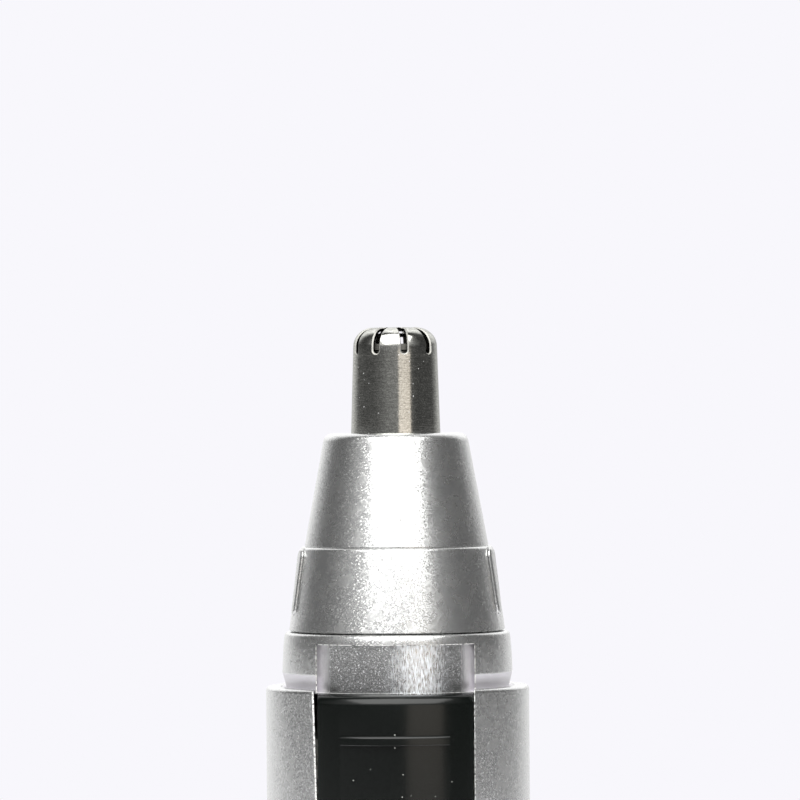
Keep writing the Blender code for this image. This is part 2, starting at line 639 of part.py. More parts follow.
def contact_cup(parent):
    """Plated plate under the battery spring, with a tab up to the long strip."""
    cup = turned("contact_cup", [(0.0, 1.9), (6.9, 1.9), (6.9, 2.3), (0.0, 2.3)], BRASS, parent, 24)
    outline = [(6.0, 1.9), (9.1, 1.9), (9.1, 9.2), (8.8, 9.2), (8.8, 2.3), (6.0, 2.3)]
    combine(cup, side_prism("tab", outline, -1.5, 1.5, "Y", None), "UNION")


def battery_spring(parent):
    """Tapered spring that presses the cell up."""
    helix("battery_spring", 2.97, 9.9, 5.8, 3.4, 0.35, 4.0, ZINC, parent)


# ---- Assembly ------------------------------------------------------------------------------

def main():
    clear_scene()
    handle = empty("handle_frame", (0.0, 0.0, 0.0))
    for build in (body_shell, neck_frame, head_seal, motor_can, magnets, end_bell, bushes, brushes,
                  motor_damper, screws, battery_cell, battery_tube, contact_carrier, contact_strips):
        build(handle)
    rotor = empty("motor_spin", (0.0, 0.0, CAN_LOW_Z), handle)
    for build in (motor_shaft, armature_core, windings, commutator, drive_dog, blade_spring):
        build(rotor)
    switch = empty("switch_slide", (0.0, -BUTTON_R, BUTTON_LOW_Z), handle)
    for build in (slide_button, slide_carrier, moving_contact):
        build(switch)
    head = empty("head_lift", (0.0, 0.0, NECK_TOP_Z), handle)
    guard_tube(head)
    head_insert(head)
    head_cone(empty("cone_twist", (0.0, 0.0, 0.0), head))
    cutter = empty("cutter_spin", (0.0, 0.0, 0.0), head)
    blade_spindle(cutter)
    inner_blade(cutter)
    base = empty("cap_pull", (0.0, 0.0, CAP_Z), handle)
    contact_cup(base)
    battery_spring(base)
    cap = empty("cap_twist", (0.0, 0.0, 0.0), base)
    battery_cap(cap)
    cap_seal(cap)


main()
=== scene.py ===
import math

import bmesh
import bpy
from mathutils import Matrix, Vector


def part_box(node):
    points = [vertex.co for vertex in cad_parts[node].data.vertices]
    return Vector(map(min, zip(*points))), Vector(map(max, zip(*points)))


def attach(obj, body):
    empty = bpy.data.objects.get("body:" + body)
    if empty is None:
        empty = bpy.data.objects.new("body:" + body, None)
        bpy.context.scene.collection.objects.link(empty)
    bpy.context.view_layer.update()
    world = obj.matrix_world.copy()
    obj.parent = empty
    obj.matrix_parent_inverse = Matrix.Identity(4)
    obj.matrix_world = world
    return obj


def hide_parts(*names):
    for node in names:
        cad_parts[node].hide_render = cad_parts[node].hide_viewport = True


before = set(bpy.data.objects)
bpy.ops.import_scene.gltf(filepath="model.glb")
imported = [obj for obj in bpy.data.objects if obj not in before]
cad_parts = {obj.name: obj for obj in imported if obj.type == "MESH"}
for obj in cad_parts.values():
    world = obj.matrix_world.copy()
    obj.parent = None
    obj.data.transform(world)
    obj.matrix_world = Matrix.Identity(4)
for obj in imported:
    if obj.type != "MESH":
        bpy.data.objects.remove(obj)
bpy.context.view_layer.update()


# ---- Body shell ----------------------------------------------------------------------------
# The long handle tube: moulded ABS, sprayed with silver flake lacquer. The switch's slot is
# moulded in, open at the top, and use has worn the lacquer off along its edges.

MM = 0.001
FINE = 144                                   # sides of a large turned piece
CREASE = 32.0                                # degrees past which an edge stays sharp


def top_of(name):
    """Highest point of a CAD node, in millimetres."""
    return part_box(name)[1].z / MM


def foot_of(name):
    """Lowest point of a CAD node, in millimetres."""
    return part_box(name)[0].z / MM


def arc(centre, radii, start, end, count):
    """Points of an elliptical arc, with angles in degrees."""
    points = []
    for step in range(count + 1):
        angle = math.radians(start + (end - start) * step / count)
        points.append((centre[0] + radii[0] * math.cos(angle), centre[1] + radii[1] * math.sin(angle)))
    return points


def piece(name, bm, crease=CREASE):
    """A bmesh in millimetres becomes a smooth-shaded object in metres, at the origin."""
    bmesh.ops.remove_doubles(bm, verts=bm.verts, dist=1e-5)
    bmesh.ops.recalc_face_normals(bm, faces=bm.faces)
    bmesh.ops.scale(bm, vec=(MM, MM, MM), verts=bm.verts)
    mesh = bpy.data.meshes.new(name)
    bm.to_mesh(mesh)
    bm.free()
    mesh.shade_smooth()
    mesh.set_sharp_from_angle(angle=math.radians(crease))
    made = bpy.data.objects.new(name, mesh)
    bpy.context.scene.collection.objects.link(made)
    return made


def turned(name, outline, sides=FINE):
    """Spin a (radius, height) outline about the tube's axis."""
    bm = bmesh.new()
    verts = [bm.verts.new((radius, 0.0, height)) for radius, height in outline]
    edges = [bm.edges.new(pair) for pair in zip(verts[:-1], verts[1:])]
    if outline[0][0] > 0.0 or outline[-1][0] > 0.0:
        edges.append(bm.edges.new((verts[-1], verts[0])))
    bmesh.ops.spin(bm, geom=verts + edges, cent=(0, 0, 0), axis=(0, 0, 1), angle=math.tau,
                   steps=sides, use_merge=True)
    return piece(name, bm)


def box_outline(x_low, x_high, y_low, y_high):
    """A rectangle in plan."""
    return [(x_low, y_low), (x_high, y_low), (x_high, y_high), (x_low, y_high)]


def prism(name, outline, low, high, turn=None):
    """Extrude an (x, y) outline from one height to another."""
    bm = bmesh.new()
    face = bm.faces.new([bm.verts.new((x, y, low)) for x, y in outline])
    grown = bmesh.ops.extrude_face_region(bm, geom=[face])
    moved = [item for item in grown["geom"] if isinstance(item, bmesh.types.BMVert)]
    bmesh.ops.translate(bm, verts=moved, vec=(0.0, 0.0, high - low))
    if turn is not None:
        bmesh.ops.transform(bm, matrix=turn, verts=bm.verts)
    return piece(name, bm)


def settle(made):
    """Turn a piece's live modifiers into plain mesh."""
    bpy.context.view_layer.update()
    evaluated = made.evaluated_get(bpy.context.evaluated_depsgraph_get())
    mesh = bpy.data.meshes.new_from_object(evaluated)
    made.modifiers.clear()
    made.data = mesh
    mesh.shade_smooth()
    mesh.set_sharp_from_angle(angle=math.radians(CREASE))
    return made


def shaped(made, tool, operation="DIFFERENCE", left_by_cut=None):
    """Cut a tool from a piece, or fuse it on. A cut can leave its own material behind."""
    change = made.modifiers.new("shape", "BOOLEAN")
    if left_by_cut is not None:
        tool.data.materials.append(left_by_cut)
        change.material_mode = "TRANSFER"
    change.operation = operation
    change.solver = "EXACT"
    change.object = tool
    settle(made)
    bpy.data.objects.remove(tool)


def colour(code):
    """An sRGB hex code as linear RGBA."""
    parts = [int(code[start:start + 2], 16) / 255.0 for start in (1, 3, 5)]
    linear = [part / 12.92 if part <= 0.04045 else ((part + 0.055) / 1.055) ** 2.4 for part in parts]
    return (*linear, 1.0)


def feed(tree, socket, source):
    """Link a socket to an output, or to a node's first live output, or fill it with a value."""
    if isinstance(source, bpy.types.Node):
        source = next(output for output in source.outputs if output.enabled)
    if isinstance(source, bpy.types.NodeSocket):
        tree.links.new(source, socket)
    else:
        socket.default_value = source


def drive(tree, shader, **sources):
    """Feed a shader's sockets, named with underscores for spaces."""
    for name, source in sources.items():
        feed(tree, shader.inputs[name.replace("_", " ")], source)


def node(tree, kind, links=None, **settings):
    """Add a node with its settings, and link or fill its sockets."""
    made = tree.nodes.new(kind)
    for name, value in settings.items():
        setattr(made, name, value)
    for socket, source in (links or {}).items():
        feed(tree, made.inputs[socket], source)
    return made


def surface(name, **constants):
    """A new material, with constant values on its shader's own sockets, and the place on the
    piece that its patterns read."""
    made = bpy.data.materials.new(name)
    made.use_nodes = True
    tree = made.node_tree
    shader = tree.nodes["Principled BSDF"]
    drive(tree, shader, **constants)
    return made, tree, shader, node(tree, "ShaderNodeTexCoord").outputs["Object"]


def flake_lacquer():
    """Silver lacquer over ABS. Its aluminium flakes lie nearly flat and give a satin metal with
    a fine grain; the steeper ones sparkle where the paint is dark. Real flakes are a few
    hundredths of a millimetre, and are drawn 0.1 mm across so that they show."""
    made, tree, shader, place = surface("silver_flake_lacquer_on_abs", Metallic=0.92,
                                        Coat_Weight=0.1, Coat_Roughness=0.15)
    flakes = node(tree, "ShaderNodeTexVoronoi", {"Vector": place, "Scale": 1.0 / (0.1 * MM)})
    chance = node(tree, "ShaderNodeSeparateColor", {0: flakes.outputs["Color"]}).outputs[0]
    raised = node(tree, "ShaderNodeMapRange", {"Value": chance, "From Min": 0.6, "From Max": 1.0,
                                               "To Min": 0.08, "To Max": 0.26})
    tilt = node(tree, "ShaderNodeVectorMath", {0: flakes.outputs["Color"], 1: (0.5, 0.5, 0.5)},
                operation="SUBTRACT")
    tilt = node(tree, "ShaderNodeVectorMath", {0: tilt, "Scale": raised}, operation="SCALE")
    normal = node(tree, "ShaderNodeNewGeometry").outputs["Normal"]
    normal = node(tree, "ShaderNodeVectorMath", {0: normal, 1: tilt}, operation="ADD")
    normal = node(tree, "ShaderNodeVectorMath", {0: normal}, operation="NORMALIZE")
    clouds = node(tree, "ShaderNodeTexNoise", {"Vector": place, "Scale": 1.0 / (1.6 * MM), "Detail": 3.0})
    amount = node(tree, "ShaderNodeMix", {"Factor": 0.4, 2: chance, 3: clouds})
    tint = node(tree, "ShaderNodeMix", {"Factor": amount, 6: colour("#B8B9BA"),
                                        7: colour("#D4D4D2")}, data_type="RGBA")
    rough = node(tree, "ShaderNodeMapRange", {"Value": clouds, "To Min": 0.24, "To Max": 0.30})
    drive(tree, shader, Normal=normal, Base_Color=tint, Roughness=rough)
    return made


def bare_edge():
    """Lacquer worn through along a sharp edge: pale matt plastic with chips and crumbs."""
    made, tree, shader, place = surface("worn_lacquer_edge_on_abs")
    chips = node(tree, "ShaderNodeTexNoise", {"Vector": place, "Scale": 1.0 / (0.3 * MM), "Detail": 5.0})
    worn = node(tree, "ShaderNodeMapRange", {"Value": chips, "From Min": 0.38, "From Max": 0.52})
    tint = node(tree, "ShaderNodeMix", {"Factor": worn, 6: colour("#5E5F60"),
                                        7: colour("#FFFFFC")}, data_type="RGBA")
    rough = node(tree, "ShaderNodeMapRange", {"Value": chips, "To Min": 0.3, "To Max": 0.7})
    bump = node(tree, "ShaderNodeBump", {"Height": chips, "Distance": 0.03 * MM})
    drive(tree, shader, Base_Color=tint, Roughness=rough, Normal=bump)
    return made


def fit(made, material, body, slot, *nodes):
    """Give a finished piece its material, its body and the CAD nodes that it stands for."""
    if not made.data.materials:
        made.data.materials.append(material)
    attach(made, body)
    if nodes:
        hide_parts(*nodes)


LACQUER = flake_lacquer()
LEDGE = top_of("body_shell")                 # height of the ledge round the neck
BODY_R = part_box("body_shell")[1].x / MM
BODY_BORE = 11.6
RIM_ROUND = 0.4
SLOT_HALF = 7.75
SLOT_FOOT = 62.8
WORN_LEFT = 0.15                             # widths of the worn edges along the slot
WORN_RIGHT = 0.09
LEAN = 0.32                                  # how far the left edge leans out at the top
shell_foot = foot_of("body_shell")
outline = arc((BODY_R - 0.25, shell_foot + 0.25), (0.25, 0.25), -90.0, 0.0, 4)
outline += [(BODY_R, shell_foot + 20.0), (BODY_R, LEDGE - 15.0)]
outline += arc((BODY_R - RIM_ROUND, LEDGE - RIM_ROUND), (RIM_ROUND, RIM_ROUND), 0.0, 90.0, 8)
outline += [(BODY_BORE + 0.1, LEDGE), (BODY_BORE, LEDGE - 0.1), (BODY_BORE, shell_foot)]
shell = turned("handle_shell", outline)
shell.data.materials.append(LACQUER)
BARE_EDGE = bare_edge()
UPRIGHT = Matrix(((1, 0, 0), (0, 0, 1), (0, 1, 0))).to_4x4()


def slot_plan(left, right):
    """Front view of the slot, grown a little on each side. Its left edge leans out by a third
    of a millimetre at the top."""
    return [(-SLOT_HALF - left, SLOT_FOOT + right / 2), (SLOT_HALF + right, SLOT_FOOT + right / 2),
            (SLOT_HALF + right, LEDGE + 1.0), (-SLOT_HALF - left - LEAN, LEDGE + 1.0),
            (-SLOT_HALF - left, LEDGE - 12.0)]


edge_depth = math.sqrt(BODY_R ** 2 - (SLOT_HALF + WORN_LEFT + LEAN) ** 2) - 0.05
shaped(shell, prism("slot_edge", slot_plan(WORN_LEFT, WORN_RIGHT), -15.0, -edge_depth, UPRIGHT),
       left_by_cut=BARE_EDGE)
shaped(shell, prism("slot", slot_plan(0.0, 0.0), -15.0, -5.0, UPRIGHT), left_by_cut=LACQUER)
fit(shell, LACQUER, "handle", "silver_paint", "body_shell")


# ---- Neck frame ----------------------------------------------------------------------------
# The collar above the ledge, moulded in one with the skirt that grips the motor and the tower
# that carries the head. The switch runs up a shallow track in its front and scuffs the lacquer.

NECK_TOP = LEDGE + 5.4
DECK = LEDGE + 3.6
NECK_FOOT_R = 11.15
NECK_R = 11.5
NECK_BORE = 10.2
TOWER_R = 6.4
TOWER_BORE = 5.8
TRACK_R = 10.65
TRACK_HALF = 7.8
TRACK_TOP = LEDGE + 4.4
KEY_HALF = 0.9                               # two keys on the tower stop the head turning
KEY_FOOT = 96.9
MOTOR_SCREW_X = 4.6
WINDOW_HALF = 9.7                            # the skirt is open behind the switch


def curved_outline(inner, outer, half, count=40):
    """A wall that bends round the axis on the -Y side, with straight parallel sides."""
    wide = math.degrees(math.asin(half / outer))
    tight = math.degrees(math.asin(half / inner))
    front = arc((0.0, 0.0), (outer, outer), -90.0 - wide, -90.0 + wide, count)
    return front + arc((0.0, 0.0), (inner, inner), -90.0 + tight, -90.0 - tight, count)


def disc_outline(radius, x=0.0, y=0.0, count=32):
    """A circle in plan."""
    turns = [math.tau * (step + 0.5) / count for step in range(count)]
    return [(x + radius * math.cos(turn), y + radius * math.sin(turn)) for turn in turns]


def scuffed_lacquer_with_painted_light():
    """The same lacquer where the switch slides, with light and shade painted into its tint: painted
    shade darkening the track towards its foot, fine upright streaks that the switch has rubbed,
    kept right of centre where the highlight falls and lightened there as a painted highlight, and
    pale lavender bands painted as reflections of the pale room, down the track's sides and round
    the collar's foot."""
    made = LACQUER.copy()
    made.name = "scuffed_flake_lacquer_with_painted_light_on_abs"
    tree = made.node_tree
    shader = tree.nodes["Principled BSDF"]
    place = node(tree, "ShaderNodeTexCoord").outputs["Object"]
    across, depth, height = node(tree, "ShaderNodeSeparateXYZ", {0: place}).outputs
    stretch = node(tree, "ShaderNodeMapping", {"Vector": place, "Scale": (1.0, 1.0, 0.16)})
    streaks = node(tree, "ShaderNodeTexNoise", {"Vector": stretch, "Scale": 1.0 / (0.1 * MM), "Detail": 2.0})
    streaks = node(tree, "ShaderNodeMapRange", {"Value": streaks, "From Min": 0.36, "From Max": 0.68})
    left = node(tree, "ShaderNodeMapRange", {"Value": across, "From Min": -2.0 * MM, "From Max": 2.5 * MM},
                interpolation_type="SMOOTHSTEP")
    right = node(tree, "ShaderNodeMapRange", {"Value": across, "From Min": 6.0 * MM, "From Max": 3.0 * MM},
                 interpolation_type="SMOOTHSTEP")
    aside = node(tree, "ShaderNodeMath", {0: across}, operation="ABSOLUTE")
    inside = node(tree, "ShaderNodeMath", {0: aside, 1: TRACK_HALF * MM}, operation="LESS_THAN")
    for value, limit in ((height, TRACK_TOP * MM), (depth, 0.0)):
        within = node(tree, "ShaderNodeMath", {0: value, 1: limit}, operation="LESS_THAN")
        inside = node(tree, "ShaderNodeMath", {0: inside, 1: within}, operation="MULTIPLY")
    # Upright rub streaks are real wear, but they are kept to the right of centre, where the highlight falls,
    # and lightened there: partly painted highlight.
    rub_streaks_and_highlight = inside
    for mask in (streaks, left, right):
        rub_streaks_and_highlight = node(tree, "ShaderNodeMath", {0: rub_streaks_and_highlight, 1: mask}, operation="MULTIPLY")
    # Pale lavender bands down the track's sides and round the collar's foot: painted reflections of the pale
    # room, mixed into the tint.
    border = node(tree, "ShaderNodeMapRange", {
        "Value": aside, "From Min": (TRACK_HALF - 1.5) * MM, "From Max": (TRACK_HALF - 0.5) * MM})
    foot = node(tree, "ShaderNodeMapRange", {
        "Value": height, "From Min": (LEDGE + 1.42) * MM, "From Max": (LEDGE + 1.30) * MM})
    painted_room_reflection = node(tree, "ShaderNodeMix", {"Factor": inside, 2: foot, 3: border})
    # Darker towards the track's foot, next to the switch: painted shade mixed into the tint.
    painted_track_shade = node(tree, "ShaderNodeMapRange", {
        "Value": height, "From Min": (LEDGE + 3.6) * MM, "From Max": (LEDGE - 0.6) * MM, "To Max": 0.62})
    painted_track_shade = node(tree, "ShaderNodeMath", {0: painted_track_shade, 1: inside}, operation="MULTIPLY")
    tint = shader.inputs["Base Color"].links[0].from_socket
    rough = shader.inputs["Roughness"].links[0].from_socket
    rough = node(tree, "ShaderNodeMix", {"Factor": inside, 2: rough, 3: 0.2})
    # Mix in the painted shade, the painted room reflections and the rub streaks with their painted highlight.
    for amount, shade, gloss in ((painted_track_shade, "#505154", 0.2), (painted_room_reflection, "#DEDCE0", 0.5), (rub_streaks_and_highlight, "#F4F9FF", 0.5)):
        tint = node(tree, "ShaderNodeMix", {"Factor": amount, 6: tint, 7: colour(shade)}, data_type="RGBA")
        rough = node(tree, "ShaderNodeMix", {"Factor": amount, 2: rough, 3: gloss})
    peel = node(tree, "ShaderNodeTexNoise", {"Vector": place, "Scale": 1.0 / (0.14 * MM), "Detail": 2.0})
    flakes = shader.inputs["Normal"].links[0].from_socket
    bump = node(tree, "ShaderNodeBump", {"Strength": inside, "Height": peel,
                                         "Distance": 0.012 * MM, "Normal": flakes})
    drive(tree, shader, Base_Color=tint, Roughness=rough, Normal=bump)
    return made


def black_rubber():
    """Moulded nitrile rubber: dull black with a faint dusty bloom."""
    made, tree, shader, place = surface("moulded_nitrile_rubber", Roughness=0.75)
    bloom = node(tree, "ShaderNodeTexNoise", {"Vector": place, "Scale": 1.0 / (0.9 * MM), "Detail": 4.0})
    tint = node(tree, "ShaderNodeMix", {"Factor": bloom, 6: colour("#151515"),
                                        7: colour("#2B2B2A")}, data_type="RGBA")
    bump = node(tree, "ShaderNodeBump", {"Height": bloom, "Distance": 0.02 * MM})
    drive(tree, shader, Base_Color=tint, Normal=bump)
    return made


RUBBER = black_rubber()
skirt_foot = foot_of("neck_frame")
tower_top = top_of("neck_frame")
outline = [(NECK_BORE, skirt_foot), (NECK_FOOT_R, skirt_foot), (NECK_FOOT_R, LEDGE - 1.0)]
outline += [(BODY_BORE - 0.05, LEDGE - 0.8), (BODY_BORE - 0.05, LEDGE - 0.03), (NECK_FOOT_R, LEDGE - 0.02)]
outline += [(NECK_FOOT_R, LEDGE + 0.04), (NECK_FOOT_R + 0.02, LEDGE + 0.12), (NECK_R - 0.03, LEDGE + 1.32)]
outline += [(NECK_R, LEDGE + 1.40), (NECK_R, LEDGE + 1.50), (NECK_R - 0.02, LEDGE + 2.2)]
outline += [(NECK_R - 0.10, LEDGE + 3.8), (NECK_R - 0.19, LEDGE + 4.8)]
outline += arc((NECK_R - 0.60, NECK_TOP - 0.34), (0.36, 0.34), 10.0, 90.0, 10)
outline += [(TOWER_R, NECK_TOP)]
outline += [(TOWER_R, tower_top - 0.3), (TOWER_R - 0.3, tower_top), (TOWER_BORE, tower_top)]
outline += [(TOWER_BORE, NECK_TOP), (3.5, NECK_TOP), (3.5, DECK), (NECK_BORE, DECK)]
neck = turned("neck_collar", outline)
SCUFFED_WITH_PAINTED_LIGHT = scuffed_lacquer_with_painted_light()
neck.data.materials.append(SCUFFED_WITH_PAINTED_LIGHT)
for side in (-1, 1):
    key = sorted((side * (TOWER_R - 0.3), side * (TOWER_R + 0.75)))
    shaped(neck, prism("key", box_outline(*key, -KEY_HALF, KEY_HALF), KEY_FOOT, tower_top - 0.5), "UNION")
    shaped(neck, prism("hole", disc_outline(0.9, side * MOTOR_SCREW_X), DECK - 1.0, NECK_TOP + 1.0))
window = box_outline(-WINDOW_HALF, WINDOW_HALF, -12.5, -2.0)
shaped(neck, prism("window", window, skirt_foot - 1.0, LEDGE - 0.4))
worn = curved_outline(NECK_R - 0.42, NECK_R + 1.0, TRACK_HALF + 0.07)
shaped(neck, prism("track_edge", worn, LEDGE - 0.3, TRACK_TOP + 0.07), left_by_cut=BARE_EDGE)
track = curved_outline(TRACK_R, NECK_R + 1.0, TRACK_HALF)
shaped(neck, prism("track", track, LEDGE - 0.3, TRACK_TOP), left_by_cut=SCUFFED_WITH_PAINTED_LIGHT)
fit(neck, SCUFFED_WITH_PAINTED_LIGHT, "handle", "silver_paint", "neck_frame")


def seal_ring(name, radius, height, thick):
    """A rubber ring with a round section."""
    return turned(name, arc((radius, height), (thick, thick), 0.0, 345.0, 23), 96)


fit(seal_ring("neck_seal_ring", 7.1, NECK_TOP + 0.65, 0.38), RUBBER, "handle", "rubber", "head_seal")


# ---- Motor ---------------------------------------------------------------------------------
# A small brushed motor: a drawn and nickel-plated steel can, ferrite magnets, bronze bushes, an
# acetal end bell with sprung brushes, and a rubber washer that keeps its buzz out of the neck.

def plated_steel():
    """Nickel plate over drawn steel: bright, with faint draw lines along the can."""
    made, tree, shader, place = surface("nickel_plated_drawn_steel", Metallic=1.0)
    stretch = node(tree, "ShaderNodeMapping", {"Vector": place, "Scale": (1.0, 1.0, 0.08)})
    lines = node(tree, "ShaderNodeTexNoise", {"Vector": stretch, "Scale": 1.0 / (0.3 * MM)})
    tint = node(tree, "ShaderNodeMix", {"Factor": lines, 6: colour("#B3B1AC"),
                                        7: colour("#D8D6D0")}, data_type="RGBA")
    rough = node(tree, "ShaderNodeMapRange", {"Value": lines, "To Min": 0.2, "To Max": 0.38})
    drive(tree, shader, Base_Color=tint, Roughness=rough)
    return made


def grained(name, dark, light, grain, low_rough, high_rough, depth, **sockets):
    """A surface with one even grain that drives its tint, roughness and relief."""
    made, tree, shader, place = surface(name, **sockets)
    noise = node(tree, "ShaderNodeTexNoise", {"Vector": place, "Scale": 1.0 / (grain * MM), "Detail": 4.0})
    tint = node(tree, "ShaderNodeMix", {"Factor": noise, 6: colour(dark),
                                        7: colour(light)}, data_type="RGBA")
    rough = node(tree, "ShaderNodeMapRange", {"Value": noise, "To Min": low_rough,
                                              "To Max": high_rough})
    bump = node(tree, "ShaderNodeBump", {"Height": noise, "Distance": depth * MM})
    drive(tree, shader, Base_Color=tint, Roughness=rough, Normal=bump)
    return made


PLATED = plated_steel()
# Sintered ferrite is a matt dark grey ceramic with a fine powder grain.
FERRITE = grained("sintered_ferrite", "#26262A", "#3A3A3D", 0.15, 0.55, 0.75, 0.01)
# Sintered bronze bushes are oil-soaked and porous, so they look brown and a little dull.
BRONZE = grained("sintered_bronze", "#6E4A28", "#A87B45", 0.12, 0.35, 0.55, 0.01, Metallic=1.0)
# Natural acetal is a slightly translucent white with a waxy moulded surface.
ACETAL = grained("moulded_acetal", "#DAD9D2", "#EEEDE6", 0.8, 0.38, 0.5, 0.004, Subsurface_Weight=0.05)
# Spring brass is rolled thin and tin-plated, with a fine rolled grain.
CONTACT = grained("plated_spring_brass", "#B08A45", "#D9BC7C", 0.25, 0.22, 0.36, 0.003, Metallic=1.0)
# Dark ABS has the even spark-eroded texture of a hidden moulding.
DARK_ABS = grained("spark_textured_dark_abs", "#1E1E20", "#2C2C2F", 0.2, 0.42, 0.58, 0.01)
# Enamelled copper wire is a deep red-brown under its clear enamel.
COPPER = grained("enamelled_copper_wire", "#7A2E14", "#B5562A", 0.3, 0.2, 0.35, 0.01, Metallic=1.0,
                 Coat_Weight=0.6)
# Stamped silicon-steel laminations are blue-grey with an oxide film.
IRON = grained("stamped_silicon_steel", "#5A5E63", "#7B7F84", 0.2, 0.35, 0.5, 0.006, Metallic=1.0)


def carry_over(material, *names):
    """A CAD node whose shape is already right keeps its mesh and gets its real material."""
    for name in names:
        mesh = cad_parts[name].data
        mesh.materials.clear()
        mesh.materials.append(material)


carry_over(PLATED, "motor_can")
carry_over(FERRITE, "magnet_left", "magnet_right")
carry_over(BRONZE, "front_bush", "rear_bush")
carry_over(ACETAL, "end_bell")
carry_over(CONTACT, "brush_left", "brush_right")
carry_over(RUBBER, "motor_damper")


# ---- Screws --------------------------------------------------------------------------------
# Cold-headed steel machine screws, nickel plated, with a pressed cross recess. Two hang the
# motor from the neck's deck and two hold the contact carrier on the battery tube.

def screw(name, middle, head_low, head_high, head_r, shank_r, tip):
    """Pan head with a cross recess, a threaded shank and a blunt tip."""
    outline = [(0.0, tip), (shank_r * 0.7, tip + 0.05), (shank_r, tip + 0.4)]
    pitch = 0.35
    turns = int((head_low - tip - 0.7) / pitch)
    for thread in range(turns):
        low = tip + 0.45 + thread * pitch
        outline += [(shank_r * 0.86, low + pitch * 0.3), (shank_r, low + pitch * 0.8)]
    outline += [(shank_r, head_low), (head_r, head_low), (head_r, head_low + 0.35)]
    outline += arc((head_r - 0.45, head_high - 0.4), (0.45, 0.4), 20.0, 90.0, 5) + [(0.0, head_high)]
    made = turned(name, outline, 32)
    for angle in (45.0, 135.0):
        bar = prism("bar", box_outline(-head_r * 0.62, head_r * 0.62, -0.14, 0.14), head_high - 0.35,
                    head_high + 0.5, Matrix.Rotation(math.radians(angle), 4, "Z"))
        shaped(made, bar)
    made.data.transform(Matrix.Translation((middle * MM, 0.0, 0.0)))
    return made


for end in ("left", "right"):
    for kind, head, head_r, shank_r in (("motor", 0.9, 1.05, 0.62), ("carrier", 1.1, 1.4, 0.78)):
        cad = f"{kind}_screw_{end}"
        low, high = (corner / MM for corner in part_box(cad))
        made = screw(f"{kind}_pan_screw_{end}", (low.x + high.x) / 2, high.z - head, high.z, head_r,
                     shank_r, low.z)
        fit(made, PLATED, "handle", "plated_steel", cad)


# ---- Rotor ---------------------------------------------------------------------------------
# A ground steel shaft through a stack of stamped laminations with three wound poles, a copper
# commutator below them, and the moulded dog on top whose flat tongue turns the cutter.

SOCKET_KINDS = {int: "NodeSocketInt", float: "NodeSocketFloat", tuple: "NodeSocketVector",
                bpy.types.Material: "NodeSocketMaterial"}


def tree_result(name, build, values, target=None):
    """Run a Geometry Nodes tree on an object, with one named input for each value, and keep the
    result as mesh."""
    tree = bpy.data.node_groups.new(name, "GeometryNodeTree")
    tree.interface.new_socket("Geometry", in_out="INPUT", socket_type="NodeSocketGeometry")
    tree.interface.new_socket("Geometry", in_out="OUTPUT", socket_type="NodeSocketGeometry")
    keys = {}
    for label, value in values.items():
        made = tree.interface.new_socket(label, in_out="INPUT", socket_type=SOCKET_KINDS[type(value)])
        keys[label] = made.identifier
    given = node(tree, "NodeGroupInput").outputs
    real = node(tree, "GeometryNodeRealizeInstances", {0: build(tree, given)})
    dressed = node(tree, "GeometryNodeSetMaterial", {0: real, "Material": given["Material"]})
    node(tree, "NodeGroupOutput", {"Geometry": dressed})
    if target is None:
        target = bpy.data.objects.new(name, bpy.data.meshes.new(name))
        bpy.context.scene.collection.objects.link(target)
    change = target.modifiers.new(name, "NODES")
    change.node_group = tree
    for label, value in values.items():
        change[keys[label]] = value
    return settle(target)


def sweep_spring(tree, given):
    """Round wire swept along a spiral that may taper."""
    spiral = node(tree, "GeometryNodeCurveSpiral", {
        "Resolution": 48, "Rotations": given["Turns"], "Start Radius": given["Low radius"],
        "End Radius": given["High radius"], "Height": given["Height"]})
    lifted = node(tree, "GeometryNodeTransform", {0: spiral, "Translation": given["Foot"]})
    section = node(tree, "GeometryNodeCurvePrimitiveCircle", {
        "Resolution": 12, "Radius": given["Wire radius"]})
    return node(tree, "GeometryNodeCurveToMesh", {
        "Curve": lifted, "Profile Curve": section, "Fill Caps": True})


def spring(name, cad, turns, low_r, high_r, wire, material):
    """A coil spring that fills its CAD node's height."""
    foot = foot_of(cad) + wire
    rise = top_of(cad) - wire - foot
    return tree_result(name, sweep_spring, {
        "Turns": turns, "Low radius": low_r * MM, "High radius": high_r * MM, "Height": rise * MM,
        "Foot": (0.0, 0.0, foot * MM), "Wire radius": wire * MM, "Material": material})


def stack_plates(tree, given):
    """The same stamping again and again up the shaft, each with a hair gap to the next."""
    line = node(tree, "GeometryNodeMeshLine", {"Count": given["Plates"], "Offset": given["Pitch"]})
    return node(tree, "GeometryNodeInstanceOnPoints", {"Points": line, "Instance": given["Geometry"]})


POLES = 3
SHAFT_R = 1.0
PLATE_PITCH = 0.5
PLATE = 0.46


def pole_outline():
    """Plan of one stamping: three T-shaped poles."""
    outline = []
    for pole in range(POLES):
        turn = Matrix.Rotation(math.tau * pole / POLES, 2)
        under = [arc((0.0, 0.0), (5.75, 5.75), angle, angle, 1)[0] for angle in (-46.0, 46.0)]
        tip = arc((0.0, 0.0), (6.9, 6.9), -46.0, 46.0, 18)
        shape = [(2.0, -1.15), (5.6, -1.15), under[0]] + tip + [under[1], (5.6, 1.15), (2.0, 1.15)]
        outline += [tuple(turn @ Vector(point)) for point in shape]
    return outline


core_low = foot_of("armature_core")
core_high = top_of("armature_core")
core = prism("armature_laminations", pole_outline(), core_low, core_low + PLATE)
shaped(core, prism("bore", disc_outline(SHAFT_R + 0.05), core_low - 1.0, core_low + 1.0))
plates = round((core_high - core_low) / PLATE_PITCH)
tree_result("armature_laminations", stack_plates, {
    "Plates": plates, "Pitch": (0.0, 0.0, PLATE_PITCH * MM), "Material": IRON}, core)
fit(core, IRON, "rotor", "core_iron", "armature_core")


